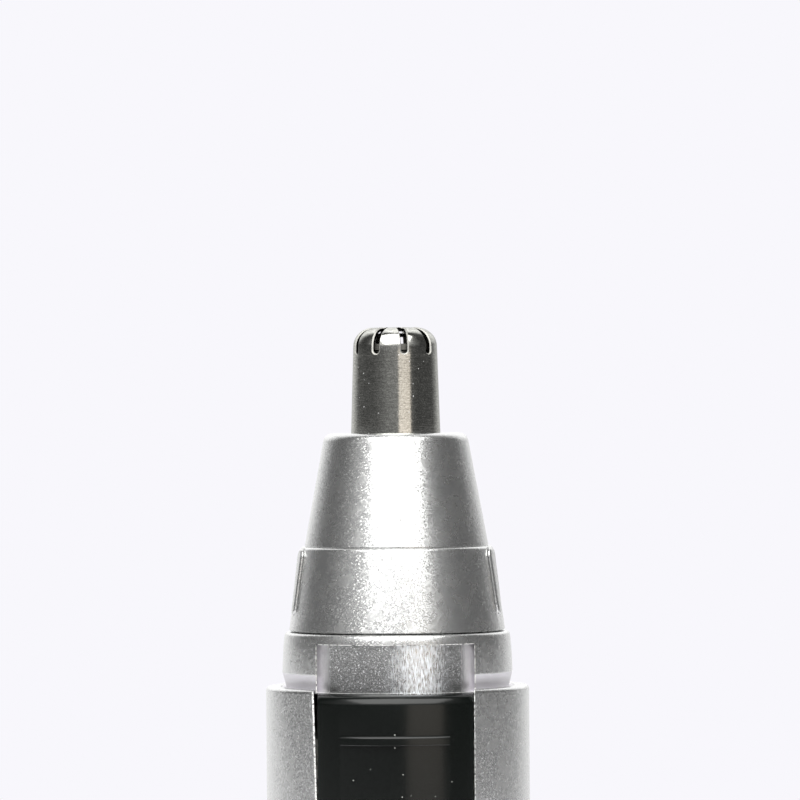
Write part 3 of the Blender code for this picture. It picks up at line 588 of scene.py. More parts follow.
def turned_steel():
    """Stainless steel polished on the lathe: dark mirror reflections softened by fine rings, a
    slight mottle and a few bright nicks. The rings are drawn 0.1 mm apart so that they show."""
    made, tree, shader, place = surface("lathe_polished_stainless_steel", Metallic=1.0,
                                        Specular_Tint=colour("#C3C3C3"))
    squash = node(tree, "ShaderNodeMapping", {"Vector": place, "Scale": (0.12, 0.12, 1.0)})
    rings = node(tree, "ShaderNodeTexNoise", {"Vector": squash, "Scale": 1.0 / (0.1 * MM),
                                              "Detail": 2.0})
    mottle = node(tree, "ShaderNodeTexNoise", {"Vector": place, "Scale": 1.0 / (0.16 * MM), "Detail": 3.0})
    both = node(tree, "ShaderNodeMix", {"Factor": 0.6, 2: rings, 3: mottle})
    clear = node(tree, "ShaderNodeMapRange", {"Value": both, "From Min": 0.35, "From Max": 0.65})
    tint = node(tree, "ShaderNodeMix", {"Factor": clear, 6: colour("#AEAEA9"),
                                        7: colour("#E2E2DC")}, data_type="RGBA")
    cells = node(tree, "ShaderNodeTexVoronoi", {"Vector": place, "Scale": 1.0 / (0.5 * MM)})
    near = node(tree, "ShaderNodeMath", {0: cells.outputs["Distance"], 1: 0.09}, operation="LESS_THAN")
    chance = node(tree, "ShaderNodeSeparateColor", {0: cells.outputs["Color"]})
    rare = node(tree, "ShaderNodeMath", {0: chance, 1: 0.68}, operation="GREATER_THAN")
    nick = node(tree, "ShaderNodeMath", {0: near, 1: rare}, operation="MULTIPLY")
    worn = node(tree, "ShaderNodeMix", {"Factor": nick, 6: tint,
                                        7: colour("#FFFFFF")}, data_type="RGBA")
    rough = node(tree, "ShaderNodeMapRange", {"Value": both, "To Min": 0.10, "To Max": 0.19})
    rougher = node(tree, "ShaderNodeMix", {"Factor": nick, 2: rough, 3: 0.8})
    bump = node(tree, "ShaderNodeBump", {"Height": both, "Distance": 0.004 * MM})
    drive(tree, shader, Base_Color=worn, Roughness=rougher, Normal=bump)
    return made


STEEL = turned_steel()
shaft_low = foot_of("motor_shaft")
shaft_high = top_of("motor_shaft")
outline = [(0.0, shaft_low), (SHAFT_R - 0.15, shaft_low), (SHAFT_R, shaft_low + 0.15)]
outline += [(SHAFT_R, shaft_high - 0.15), (SHAFT_R - 0.15, shaft_high), (0.0, shaft_high)]
fit(turned("ground_shaft", outline, 48), STEEL, "rotor", "stainless_steel", "motor_shaft")
carry_over(COPPER, "commutator", "winding_1", "winding_2", "winding_3")


def flatted_outline(radius, flat, count=16):
    """A circle with two flats that face -Y and +Y."""
    limit = math.degrees(math.asin(flat / radius))
    right = arc((0.0, 0.0), (radius, radius), -limit, limit, count)
    return right + arc((0.0, 0.0), (radius, radius), 180.0 - limit, 180.0 + limit, count)


DOG_R = 2.8
TONGUE_R = 1.7
TONGUE_FLAT = 0.95
dog_low = foot_of("drive_dog")
dog_top = dog_low + 3.2
outline = [(0.0, dog_top - 0.4), (SHAFT_R + 0.05, dog_top - 0.4), (SHAFT_R + 0.05, dog_low)]
outline += [(DOG_R - 0.15, dog_low), (DOG_R, dog_low + 0.15), (DOG_R, dog_top - 0.2)]
outline += [(DOG_R - 0.2, dog_top), (0.0, dog_top)]
dog = turned("drive_dog_tongue", outline, 64)
tongue = prism("tongue", flatted_outline(TONGUE_R, TONGUE_FLAT), dog_top - 0.2, top_of("drive_dog"))
shaped(dog, tongue, "UNION")
fit(dog, DARK_ABS, "rotor", "dark_plastic", "drive_dog")
fit(spring("cutter_lift_spring", "blade_spring", 4.5, 2.35, 2.35, 0.2, STEEL), STEEL, "rotor",
    "stainless_steel", "blade_spring")


# ---- Battery bay ---------------------------------------------------------------------------
# A moulded tube centres the AA cell in the handle. Plated brass strips take its current past
# the switch to the motor, and a moulded bulkhead keeps the cell off the motor's terminals.

def set_stops(ramp, stops):
    """Fill a colour ramp with (position, colour) stops."""
    for number, (position, shade) in enumerate(stops):
        stop = ramp.color_ramp.elements[number] if number < 2 else ramp.color_ramp.elements.new(position)
        stop.position = position
        stop.color = shade


def cell_sleeve():
    """Shrunk PVC sleeve with two plain printed bands, over a nickel-plated steel can."""
    made, tree, shader, place = surface("printed_pvc_cell_sleeve", Coat_Weight=0.5, Coat_Roughness=0.12)
    height = node(tree, "ShaderNodeSeparateXYZ", {0: place}).outputs[2]
    low, high = (level.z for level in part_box("battery_cell"))
    along = node(tree, "ShaderNodeMapRange", {"Value": height, "From Min": low, "From Max": high})
    bands = node(tree, "ShaderNodeValToRGB", {"Fac": along})
    bands.color_ramp.interpolation = "CONSTANT"
    set_stops(bands, ((0.0, colour("#B9B7B2")), (0.03, colour("#2F3B45")), (0.7, colour("#C08A3C")),
                      (0.955, colour("#B9B7B2"))))
    print_grain = node(tree, "ShaderNodeTexNoise", {"Vector": place, "Scale": 1.0 / (0.4 * MM)})
    tint = node(tree, "ShaderNodeMix", {"Factor": 0.12, 6: bands, 7: print_grain.outputs["Color"]},
                data_type="RGBA", blend_type="SOFT_LIGHT")
    bare = node(tree, "ShaderNodeMath", {0: along, 1: 0.955}, operation="GREATER_THAN")
    foot = node(tree, "ShaderNodeMath", {0: along, 1: 0.03}, operation="LESS_THAN")
    metal = node(tree, "ShaderNodeMath", {0: bare, 1: foot}, operation="ADD")
    rough = node(tree, "ShaderNodeMapRange", {"Value": print_grain, "To Min": 0.22, "To Max": 0.36})
    drive(tree, shader, Base_Color=tint, Metallic=metal, Roughness=rough)
    return made


cell_low = foot_of("battery_cell")
cell_high = top_of("battery_cell")
CELL_R = 7.15
outline = [(0.0, cell_low), (4.6, cell_low), (4.8, cell_low + 0.12), (CELL_R - 0.5, cell_low + 0.12)]
outline += arc((CELL_R - 0.4, cell_low + 0.5), (0.4, 0.4), -80.0, 0.0, 5)
outline += arc((CELL_R - 0.7, cell_high - 1.7), (0.7, 0.7), 0.0, 90.0, 6)
outline += [(2.9, cell_high - 1.0), (2.7, cell_high - 0.85)]
outline += arc((2.4, cell_high - 0.3), (0.3, 0.3), 0.0, 90.0, 4) + [(0.0, cell_high)]
fit(turned("aa_cell", outline, 96), cell_sleeve(), "handle", "cell_wrap", "battery_cell")


def repeat_round(tree, given):
    """Copies of one shape, evenly spaced round the tube's axis."""
    line = node(tree, "GeometryNodeMeshLine", {"Count": given["Count"], "Offset": (0.0, 0.0, 0.0)})
    number = node(tree, "GeometryNodeInputIndex")
    swing = node(tree, "ShaderNodeMath", {0: number, 1: given["Step"], 2: given["First"]},
                 operation="MULTIPLY_ADD")
    turn = node(tree, "ShaderNodeCombineXYZ", {2: swing})
    return node(tree, "GeometryNodeInstanceOnPoints", {
        "Points": line, "Instance": given["Geometry"], "Rotation": turn})


def ring_of(made, count, first, step, material):
    """Repeat a shape round the axis; angles in degrees."""
    return tree_result(made.name + "_ring", repeat_round, {
        "Count": count, "First": math.radians(first), "Step": math.radians(step),
        "Material": material}, made)


TUBE_R = 8.5
TUBE_BORE = 7.5
RIB_LOW = 16.0
RIB_HIGH = 60.0
EAR_LOW = 53.0                               # the ears take the carrier's screws
EAR_REACH = 11.0
HOLE_LOW = 55.5
tube_low = foot_of("battery_tube")
tube_high = top_of("battery_tube")
screw_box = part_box("carrier_screw_right")
carrier_screw_x = (screw_box[0].x + screw_box[1].x) / 2 / MM
outline = [(TUBE_BORE + 0.3, tube_low), (TUBE_R, tube_low), (TUBE_R, tube_high), (TUBE_BORE, tube_high)]
outline += [(TUBE_BORE, tube_low + 0.4)]
tube = turned("battery_bay_tube", outline, 96)
for first in (35.0, 215.0):
    rib = prism("rib", box_outline(TUBE_R - 0.3, BODY_BORE - 0.35, -0.6, 0.6), RIB_LOW, RIB_HIGH)
    shaped(tube, ring_of(rib, 2, first, 110.0, DARK_ABS), "UNION")
ear = prism("ear", box_outline(TUBE_R - 0.3, EAR_REACH, -1.9, 1.9), EAR_LOW, tube_high)
shaped(tube, ring_of(ear, 2, 0.0, 180.0, DARK_ABS), "UNION")
hole = prism("hole", disc_outline(1.0, carrier_screw_x), HOLE_LOW, tube_high + 1.0)
shaped(tube, ring_of(hole, 2, 0.0, 180.0, DARK_ABS))
fit(tube, DARK_ABS, "handle", "dark_plastic", "battery_tube")
carry_over(DARK_ABS, "contact_carrier")
carry_over(CONTACT, "positive_contact", "motor_strip", "negative_strip")


# ---- Switch --------------------------------------------------------------------------------
# A black ABS thumb piece fills the slot flush with the shell. Its edges are rounded and one low
# rib gives the thumb grip. Two pegs behind it are staked through an acetal carrier plate.

def black_abs():
    """Semi-gloss black ABS: deep black with a soft sheen, a faint moulded grain, fine hair
    scratches and a scatter of pale dust specks."""
    made, tree, shader, place = surface("semi_gloss_black_abs", Specular_IOR_Level=0.40)
    grain = node(tree, "ShaderNodeTexNoise", {"Vector": place, "Scale": 1.0 / (0.25 * MM), "Detail": 4.0})
    tint = node(tree, "ShaderNodeMix", {"Factor": grain, 6: colour("#040605"),
                                        7: colour("#0B0F0D")}, data_type="RGBA")
    cells = node(tree, "ShaderNodeTexVoronoi", {"Vector": place, "Scale": 1.0 / (0.8 * MM)})
    chance, second_chance, _ = node(tree, "ShaderNodeSeparateColor", {0: cells.outputs["Color"]}).outputs
    size = node(tree, "ShaderNodeMapRange", {"Value": second_chance, "To Min": 0.04, "To Max": 0.10})
    near = node(tree, "ShaderNodeMath", {0: cells.outputs["Distance"], 1: size}, operation="LESS_THAN")
    rare = node(tree, "ShaderNodeMath", {0: chance, 1: 0.84}, operation="GREATER_THAN")
    dust = node(tree, "ShaderNodeMath", {0: near, 1: rare}, operation="MULTIPLY")
    slant = node(tree, "ShaderNodeMapping", {"Vector": place, "Rotation": (0.0, 0.9, 0.0),
                                             "Scale": (1.0, 1.0, 0.10)})
    hairs = node(tree, "ShaderNodeTexVoronoi", {"Vector": slant, "Scale": 1.0 / (0.8 * MM)})
    hair_chance = node(tree, "ShaderNodeSeparateColor", {0: hairs.outputs["Color"]})
    thin = node(tree, "ShaderNodeMath", {0: hairs.outputs["Distance"], 1: 0.035}, operation="LESS_THAN")
    few = node(tree, "ShaderNodeMath", {0: hair_chance, 1: 0.93}, operation="GREATER_THAN")
    hair = node(tree, "ShaderNodeMath", {0: thin, 1: few}, operation="MULTIPLY")
    hair = node(tree, "ShaderNodeMath", {0: hair, 1: 0.25}, operation="MULTIPLY")
    marks = node(tree, "ShaderNodeMath", {0: dust, 1: hair}, operation="MAXIMUM")
    marked = node(tree, "ShaderNodeMix", {"Factor": marks, 6: tint,
                                          7: colour("#B9BCB6")}, data_type="RGBA")
    rough = node(tree, "ShaderNodeMapRange", {"Value": grain, "To Min": 0.15, "To Max": 0.22})
    bump = node(tree, "ShaderNodeBump", {"Height": grain, "Distance": 0.004 * MM})
    drive(tree, shader, Base_Color=marked, Roughness=rough, Normal=bump)
    return made


def rounded(made, width, segments):
    """Round a piece's sharp edges."""
    change = made.modifiers.new("edges", "BEVEL")
    change.width = width * MM
    change.segments = segments
    change.limit_method = "ANGLE"
    change.angle_limit = math.radians(50.0)
    settle(made)


BUTTON_HALF = 7.65
BUTTON_R = 13.0
BUTTON_BACK = 11.6
PEG_HEIGHTS = (70.0, 81.0)
BROW = 1.0                                   # rounding of the top and bottom edges
RIB_HALF = 5.35
RIB_LOW_EDGE = LEDGE - 5.3
RIB_TOP_EDGE = LEDGE - 4.35
RIB_PROUD = 0.5
RIB_ROUND = 0.28                             # rounding of the rib's top edge


def bent_plate(name, rows, half, back_radius, columns=48):
    """A plate that bends round the axis on the -Y side. Each row is (outer radius, height)."""
    bm = bmesh.new()
    grid = []
    for radius, height in rows:
        row = []
        for wall in (radius, back_radius):
            wide = math.asin(half / wall)
            for column in range(columns + 1):
                angle = wide * (2.0 * column / columns - 1.0)
                row.append(bm.verts.new((wall * math.sin(angle), -wall * math.cos(angle), height)))
        grid.append(row)
    back = columns + 1
    for low, high in zip(grid[:-1], grid[1:]):
        for column in range(columns):
            for start in (column, back + column):
                bm.faces.new((low[start], low[start + 1], high[start + 1], high[start]))
        for end in (0, columns):
            bm.faces.new((low[end], low[back + end], high[back + end], high[end]))
    for row in (grid[0], grid[-1]):
        for column in range(columns):
            bm.faces.new((row[column], row[column + 1], row[back + column + 1], row[back + column]))
    return piece(name, bm)


button_low = foot_of("slide_button")
button_high = top_of("slide_button")
rows = arc((BUTTON_R - BROW, button_low + BROW), (BROW, BROW), -90.0, 0.0, 10)
rows += arc((BUTTON_R - BROW, button_high - BROW), (BROW, BROW), 0.0, 90.0, 10)
button = bent_plate("thumb_switch", rows, BUTTON_HALF, BUTTON_BACK)
rounded(button, 0.22, 4)
rib_r = BUTTON_R + RIB_PROUD
rows = [(BUTTON_R - 0.2, RIB_LOW_EDGE), (rib_r - 0.06, RIB_LOW_EDGE), (rib_r, RIB_LOW_EDGE + 0.06)]
rows += arc((rib_r - RIB_ROUND, RIB_TOP_EDGE - RIB_ROUND), (RIB_ROUND, RIB_ROUND), 0.0, 90.0, 6)
rows += [(BUTTON_R - 0.2, RIB_TOP_EDGE)]
shaped(button, bent_plate("thumb_rib", rows, RIB_HALF, BUTTON_R - 0.6, 32), "UNION")
for height in PEG_HEIGHTS:
    peg = prism("peg", disc_outline(1.1, 0.0, height), -BUTTON_BACK - 0.2, -9.8, UPRIGHT)
    shaped(button, peg, "UNION")
fit(button, black_abs(), "switch", "black_plastic", "slide_button")
carry_over(ACETAL, "slide_carrier")
carry_over(CONTACT, "moving_contact")


# ---- Guard and cutter ----------------------------------------------------------------------
# The guard is a deep-drawn stainless tube with a rolled shoulder. Nine comb slots are milled up
# its side and over the shoulder. The cutter inside is a smaller slotted steel cup on a stem.

def comb_cup(name, rows, slots, phase, columns, materials):
    """A thin cup with slots whose outer rims are ground. Each row is (outer radius, height, inner
    radius, height, half the slot's width there, the same over its rims, the rims' depth). The
    materials are for its skin, its ground rims and its milled slot walls."""
    bm = bmesh.new()
    grid = {}
    pitch = math.tau / slots
    last = len(rows) - 1
    for rib in range(slots):
        middle = math.radians(phase) + pitch * (rib + 0.5)
        for number, (outer, outer_z, inner, inner_z, half, over, depth) in enumerate(rows):
            sunk = depth / math.dist((outer, outer_z), (inner, inner_z))
            for wall, radius, height in ((0, outer, outer_z), (1, inner, inner_z)):
                for column in range(columns + 1):
                    edge = column in (0, columns)
                    gap = math.asin((half if edge else over) / radius) if over > 0.0 else 0.0
                    share = max(0.0, min(1.0, (column - 1) / (columns - 2)))
                    angle = middle + (pitch - 2.0 * gap) * (share - 0.5)
                    at, up = radius, height
                    if edge and wall == 0:
                        at, up = outer + (inner - outer) * sunk, outer_z + (inner_z - outer_z) * sunk
                    spot = (at * math.cos(angle), at * math.sin(angle), up)
                    grid[rib, number, wall, column] = bm.verts.new(spot)
    for rib in range(slots):
        for number in range(last):
            for column in range(columns):
                for wall in (0, 1):
                    face = bm.faces.new([grid[rib, number + step, wall, column + side]
                                         for step, side in ((0, 0), (1, 0), (1, 1), (0, 1))])
                    rim = wall == 0 and column in (0, columns - 1) and rows[number][5] > 0.0
                    face.material_index = 1 if rim else 0
            if rows[number][4] > 0.0 or rows[number + 1][4] > 0.0:
                for column in (0, columns):
                    face = bm.faces.new([grid[rib, number + step, wall, column]
                                         for step, wall in ((0, 0), (1, 0), (1, 1), (0, 1))])
                    face.material_index = 2
        for column in range(columns):
            bm.faces.new([grid[rib, last, wall, column + side]
                          for wall, side in ((0, 0), (0, 1), (1, 1), (1, 0))])
    bmesh.ops.remove_doubles(bm, verts=bm.verts, dist=1e-4)
    bmesh.ops.dissolve_degenerate(bm, edges=bm.edges, dist=1e-5)
    made = piece(name, bm, 28.0)
    for material in materials:
        made.data.materials.append(material)
    return made


GUARD_TOP = top_of("guard_tube")
GUARD_SHOULDER = LEDGE + 33.85
GUARD_FOOT_R = 4.47
GUARD_TIP_R = 4.2
GUARD_WALL = 0.4
SHOULDER_R = 2.0
SLOT_END_R = 1.70
SLOT_LOW = LEDGE + 33.12
GUARD_SLOTS = 9
GUARD_SLOT_HALF = 0.35
FIRST_SLOT = 14.0 - 90.0                     # the slot nearest the front stands 14 degrees right
RIM = 0.12                                   # width and depth of the ground rims
CONE_TOP = top_of("head_cone")


def guard_rows():
    """Profile of the guard from its crown to its clamping flange."""
    crown = GUARD_TIP_R - SHOULDER_R
    rise = GUARD_TOP - GUARD_SHOULDER
    flat, under = GUARD_TOP, GUARD_TOP - GUARD_WALL
    rows = [(0.0, flat, 0.0, under, 0.0, 0.0, 0.0), (0.9, flat, 0.9, under, 0.0, 0.0, 0.0)]
    for step in range(5):
        angle = math.radians(90.0 * step / 4)
        radius = SLOT_END_R + GUARD_SLOT_HALF * (1.0 - math.cos(angle))
        rows.append((radius, flat, radius * 0.93, under, GUARD_SLOT_HALF * math.sin(angle),
                     (GUARD_SLOT_HALF + RIM) * math.sin(angle), RIM * math.sin(angle)))
    for step in range(11):
        angle = math.radians(90.0 - 9.0 * step)
        outer = (crown + SHOULDER_R * math.cos(angle), GUARD_SHOULDER + rise * math.sin(angle))
        inner = (crown + (SHOULDER_R - GUARD_WALL) * math.cos(angle),
                 GUARD_SHOULDER + (rise - GUARD_WALL) * math.sin(angle))
        rows.append((*outer, *inner, GUARD_SLOT_HALF, GUARD_SLOT_HALF + RIM, RIM))
    slope = (GUARD_FOOT_R - GUARD_TIP_R) / (GUARD_SHOULDER - CONE_TOP)
    centre = SLOT_LOW + GUARD_SLOT_HALF
    reach = GUARD_SLOT_HALF + RIM
    drops = [reach * math.sin(math.radians(90.0 * step / 11)) for step in range(12)]
    drops = sorted(drops + [GUARD_SLOT_HALF]) + [reach + further for further in (0.4, 1.5, 4.0, 6.5)]
    for drop in drops + [centre - CONE_TOP]:
        half = math.sqrt(max(GUARD_SLOT_HALF ** 2 - drop ** 2, 0.0))
        over = math.sqrt(max(reach ** 2 - drop ** 2, 0.0))
        depth = max(0.0, RIM - max(0.0, drop - GUARD_SLOT_HALF))
        radius = GUARD_TIP_R + slope * (GUARD_SHOULDER - centre + drop)
        height = centre - drop
        rows.append((radius, height, radius - GUARD_WALL, height, half, over, depth))
    flange = foot_of("guard_tube")
    bore = GUARD_FOOT_R - GUARD_WALL
    for radius, height, back, low in ((GUARD_FOOT_R, 0.75, bore, 0.75), (GUARD_FOOT_R + 0.25, 0.5, bore, 0.5),
                                      (5.8, 0.5, bore, 0.3), (5.8, 0.0, bore, 0.0)):
        rows.append((radius, flange + height, back, flange + low, 0.0, 0.0, 0.0))
    return rows


# The slots' milled walls are tinted near black: painted shade for the dark inside of the slots.
SLOT_WALL_PAINTED_SHADE = grained("milled_steel_with_painted_shade", "#1B1B1A", "#2E2E2C", 0.1, 0.4, 0.55, 0.004, Metallic=1.0)
# The slots' rims are ground after milling, which leaves them pale and matt.
GROUND = grained("ground_stainless_edge", "#A9A8A4", "#D4D3CE", 0.1, 0.6, 0.75, 0.004, Metallic=1.0)
guard = comb_cup("slotted_guard", guard_rows(), GUARD_SLOTS, FIRST_SLOT, 14, (STEEL, GROUND, SLOT_WALL_PAINTED_SHADE))
fit(guard, STEEL, "head", "stainless_steel", "guard_tube")

BLADE_RIM_R = 3.65
BLADE_RIM = 123.45
BLADE_CROWN = 124.1
BLADE_SKIN = 0.35
BLADE_HALF = 1.55                            # half the width of the cutter's slots
BLADE_SLOTS = 4
BLADE_CROWN_R = 2.05
BLADE_SKIRT_R = 3.35
BLADE_HOLE_R = 1.8


def blade_rows():
    """Profile of the cutter: closed crown, slotted shoulder, raised rim and plain skirt."""
    top = top_of("inner_blade")
    low = foot_of("inner_blade")
    under = top - BLADE_SKIN
    rise = top - BLADE_CROWN
    shoulder = BLADE_RIM_R - BLADE_CROWN_R
    rows = [(radius, top, inner, under, half) for radius, inner, half in (
        (0.0, 0.0, 0.0), (1.2, 1.2, 0.0), (BLADE_CROWN_R - 0.01, BLADE_CROWN_R - 0.11, 0.0),
        (BLADE_CROWN_R, BLADE_CROWN_R - 0.1, BLADE_HALF))]
    for step in range(1, 9):
        angle = math.radians(90.0 - 11.25 * step)
        rows.append((BLADE_CROWN_R + shoulder * math.cos(angle), BLADE_CROWN + rise * math.sin(angle),
                     BLADE_CROWN_R + (shoulder - BLADE_SKIN) * math.cos(angle),
                     BLADE_CROWN + (rise - BLADE_SKIN) * math.sin(angle), BLADE_HALF))
    bore = BLADE_RIM_R - BLADE_SKIN
    inner = BLADE_SKIRT_R - BLADE_SKIN
    rows += [(BLADE_RIM_R, BLADE_CROWN - 0.01, bore, BLADE_CROWN - 0.01, 0.0)]
    rows += [(BLADE_RIM_R, BLADE_RIM + 0.05, bore, BLADE_RIM + 0.2, 0.0)]
    rows += [(BLADE_SKIRT_R, BLADE_RIM - 0.05, inner, BLADE_RIM - 0.1, 0.0)]
    rows += [(BLADE_SKIRT_R, low, inner, low + BLADE_SKIN, 0.0)]
    return rows + [(BLADE_HOLE_R, low, BLADE_HOLE_R, low + BLADE_SKIN, 0.0)]


# The cutter is stamped and tumbled, which leaves it duller than the guard. Its dark grey tint is painted
# shade, for the cutter sits in the shade inside the guard.
TUMBLED_IN_PAINTED_SHADE = grained("tumbled_stainless_steel_in_painted_shade", "#5E5D59", "#7C7B76", 0.15, 0.55, 0.7, 0.003, Metallic=1.0)
rows = [(*row, row[4], 0.0) for row in blade_rows()]
blade = comb_cup("spinning_cutter", rows, BLADE_SLOTS, -96.0, 12, (TUMBLED_IN_PAINTED_SHADE, TUMBLED_IN_PAINTED_SHADE, SLOT_WALL_PAINTED_SHADE))
fit(blade, TUMBLED_IN_PAINTED_SHADE, "cutter", "stainless_steel", "inner_blade")

SOCKET_R = 3.0                               # the stem's foot takes the drive dog's tongue
SOCKET_TOP = 107.0
STEM_R = 2.0
SEAT_R = 3.2                                 # the cutter sits on this disc
SEAT_LOW = 118.6
SEAT_HIGH = 119.9
SPIGOT_R = 1.5
spindle_low = foot_of("blade_spindle")
spindle_high = top_of("blade_spindle")
outline = [(0.0, spindle_low), (SOCKET_R - 0.15, spindle_low), (SOCKET_R, spindle_low + 0.15)]
outline += [(SOCKET_R, SOCKET_TOP - 0.2), (SOCKET_R - 0.2, SOCKET_TOP), (STEM_R, SOCKET_TOP)]
outline += [(STEM_R, SEAT_LOW), (SEAT_R - 0.15, SEAT_LOW), (SEAT_R, SEAT_LOW + 0.15)]
outline += [(SEAT_R, SEAT_HIGH), (SPIGOT_R, SEAT_HIGH), (SPIGOT_R, spindle_high - 0.2)]
outline += [(SPIGOT_R - 0.2, spindle_high), (0.0, spindle_high)]
spindle = turned("cutter_stem", outline, 64)
socket = flatted_outline(TONGUE_R + 0.3, TONGUE_FLAT + 0.3)
shaped(spindle, prism("socket", socket, spindle_low - 1.0, SOCKET_TOP - 0.9))
fit(spindle, ACETAL, "cutter", "white_plastic", "blade_spindle")


# ---- Head insert ---------------------------------------------------------------------------
# A dark moulded carrier, keyed on the tower. Its hub seats the guard's flange and its chimney
# is the plain bearing that the cutter's stem runs in.

SKIRT_BORE = 6.7
SKIRT_R = 7.6
SKIRT_TOP = 104.8
HUB_R = 5.9
HUB_TOP = 107.5
CHIMNEY_R = 3.6
CHIMNEY_TOP = 112.0
STEM_BORE = STEM_R + 0.07
DOG_ROOM_R = 3.3
DOG_ROOM_LOW = 103.8
DOG_ROOM_TOP = 107.3
KEYWAY_TOP = 101.5
insert_low = foot_of("head_insert")
outline = [(SKIRT_BORE, insert_low), (SKIRT_R - 0.15, insert_low), (SKIRT_R, insert_low + 0.15)]
outline += [(SKIRT_R, SKIRT_TOP), (HUB_R, SKIRT_TOP + 0.4), (HUB_R, HUB_TOP - 0.2), (HUB_R - 0.2, HUB_TOP)]
outline += [(CHIMNEY_R, HUB_TOP), (CHIMNEY_R, CHIMNEY_TOP - 0.2), (CHIMNEY_R - 0.2, CHIMNEY_TOP)]
outline += [(STEM_BORE, CHIMNEY_TOP), (STEM_BORE, DOG_ROOM_TOP), (DOG_ROOM_R, DOG_ROOM_TOP)]
outline += [(DOG_ROOM_R, DOG_ROOM_LOW), (SKIRT_BORE, DOG_ROOM_LOW)]
insert = turned("guard_carrier", outline, 96)
keyway = prism("keyway", box_outline(5.0, 9.0, -KEY_HALF - 0.3, KEY_HALF + 0.3), insert_low - 1.0, KEYWAY_TOP)
shaped(insert, ring_of(keyway, 2, 0.0, 180.0, DARK_ABS))
fit(insert, DARK_ABS, "head", "dark_plastic", "head_insert")


# ---- Head cone -----------------------------------------------------------------------------
# The lacquered cone twists off with the fingers. A small step rings it at mid height, four
# tapered beads near its sides give grip, and a sleeve inside clamps the guard's flange.

CONE_FOOT = foot_of("head_cone") - 0.14
CONE_BORE = 9.6
CONE_R = 10.78
STEP_TOP = LEDGE + 13.9
STEP_LOW_R = 9.65
STEP_HIGH_R = 9.18
CONE_TOP_R = 7.28
TOP_ROUND = 0.95
CLAMP_R = 5.7                                # the sleeve that clamps the guard's flange
CLAMP_BORE = 4.8
CLAMP_LOW = 108.6
CLAMP_TOP = 114.2
BEAD_FOOT = LEDGE + 7.65
BEAD_HEAD = LEDGE + 12.95
BEAD_THIN = 0.52
BEAD_THICK = 0.74
BEAD_ANGLE = 73.6
BEAD_SECTION = ((0.22, -0.40), (0.22, -0.02), (0.08, 0.06), (0.05, 0.08), (0.03, 0.19), (0.0, 0.22),
                (-0.10, 0.285), (-0.20, 0.30))


def bead(name):
    """A tapered round-ended pad on the lower cone at +X, lofted from its section: a painted
    fillet at the foot, a steep side and a rounded top. Pairs are (growth, height)."""
    bm = bmesh.new()
    loops = []
    for grow, height in BEAD_SECTION:
        outline = arc((0.0, BEAD_HEAD), (BEAD_THICK + grow, BEAD_THICK + grow), 0.0, 180.0, 14)
        outline += arc((0.0, BEAD_FOOT), (BEAD_THIN + grow, BEAD_THIN + grow), 180.0, 360.0, 14)
        loops.append([bm.verts.new((height, across, up)) for across, up in outline])
    count = len(loops[0])
    for low, high in zip(loops[:-1], loops[1:]):
        for spot in range(count):
            after = (spot + 1) % count
            bm.faces.new((low[spot], low[after], high[after], high[spot]))
    bm.faces.new(loops[0])
    bm.faces.new(loops[-1])
    middle = (BEAD_FOOT + BEAD_HEAD) / 2
    slope = (CONE_R - STEP_LOW_R) / (STEP_TOP - CONE_FOOT)
    radius = CONE_R - slope * (middle - CONE_FOOT)
    lean = Matrix.Translation((radius, 0.0, middle)) @ Matrix.Rotation(-math.atan(slope), 4, "Y")
    bmesh.ops.transform(bm, matrix=lean @ Matrix.Translation((0.0, 0.0, -middle)), verts=bm.verts)
    return piece(name, bm)


mouth = GUARD_FOOT_R + 0.13
ridge = STEP_HIGH_R - 0.09
outline = [(CONE_BORE, CONE_FOOT), (CONE_R - 0.12, CONE_FOOT), (CONE_R, CONE_FOOT + 0.12)]
outline += arc((STEP_LOW_R - 0.38, STEP_TOP - 0.32), (0.38, 0.32), 5.0, 90.0, 8)
outline += [(ridge, STEP_TOP), (ridge, STEP_TOP + 0.1), (STEP_HIGH_R, STEP_TOP + 0.12)]
outline += arc((CONE_TOP_R - TOP_ROUND, CONE_TOP - TOP_ROUND), (TOP_ROUND, TOP_ROUND), 8.0, 90.0, 10)
outline += [(mouth + 0.1, CONE_TOP), (mouth, CONE_TOP - 0.1), (mouth, CLAMP_TOP + 0.2)]
outline += [(CLAMP_BORE, CLAMP_TOP), (CLAMP_BORE, CLAMP_LOW), (CLAMP_R, CLAMP_LOW)]
outline += [(CLAMP_R, CLAMP_TOP - 0.5), (6.3, CLAMP_TOP - 0.5), (7.95, 105.0), (8.55, 103.2)]
cone = turned("twist_cone", outline)
for first in (BEAD_ANGLE - 90.0, BEAD_ANGLE - 270.0):
    shaped(cone, ring_of(bead("grip_bead"), 2, first, 180.0 - 2.0 * BEAD_ANGLE, LACQUER), "UNION")
fit(cone, LACQUER, "cone", "silver_paint", "head_cone")


# ---- Base ----------------------------------------------------------------------------------
# The lacquered end cap closes the handle. A rubber ring seals its plug, and a tapered steel
# spring on a plated cup presses the cell up and carries its current.

CAP_SKIRT = shell_foot - 0.3
FOOT_ROUND = 1.5
PLUG_R = 10.4
PLUG_BORE = 9.5
FLOOR = 1.6
cap_top = top_of("battery_cap")
outline = [(0.0, 0.0), (BODY_R - 3.2, 0.0)]
outline += arc((BODY_R - FOOT_ROUND, FOOT_ROUND), (FOOT_ROUND, FOOT_ROUND), -90.0, 0.0, 10)
outline += arc((BODY_R - 0.2, CAP_SKIRT - 0.2), (0.2, 0.2), 0.0, 90.0, 4)
outline += [(PLUG_R, CAP_SKIRT), (PLUG_R, cap_top - 0.3), (PLUG_R - 0.3, cap_top), (PLUG_BORE, cap_top)]
outline += [(PLUG_BORE, FLOOR), (0.0, FLOOR)]
fit(turned("end_cap", outline), LACQUER, "cap", "silver_paint", "battery_cap")
fit(seal_ring("cap_seal_ring", 10.95, 10.6, 0.35), RUBBER, "cap", "rubber", "cap_seal")
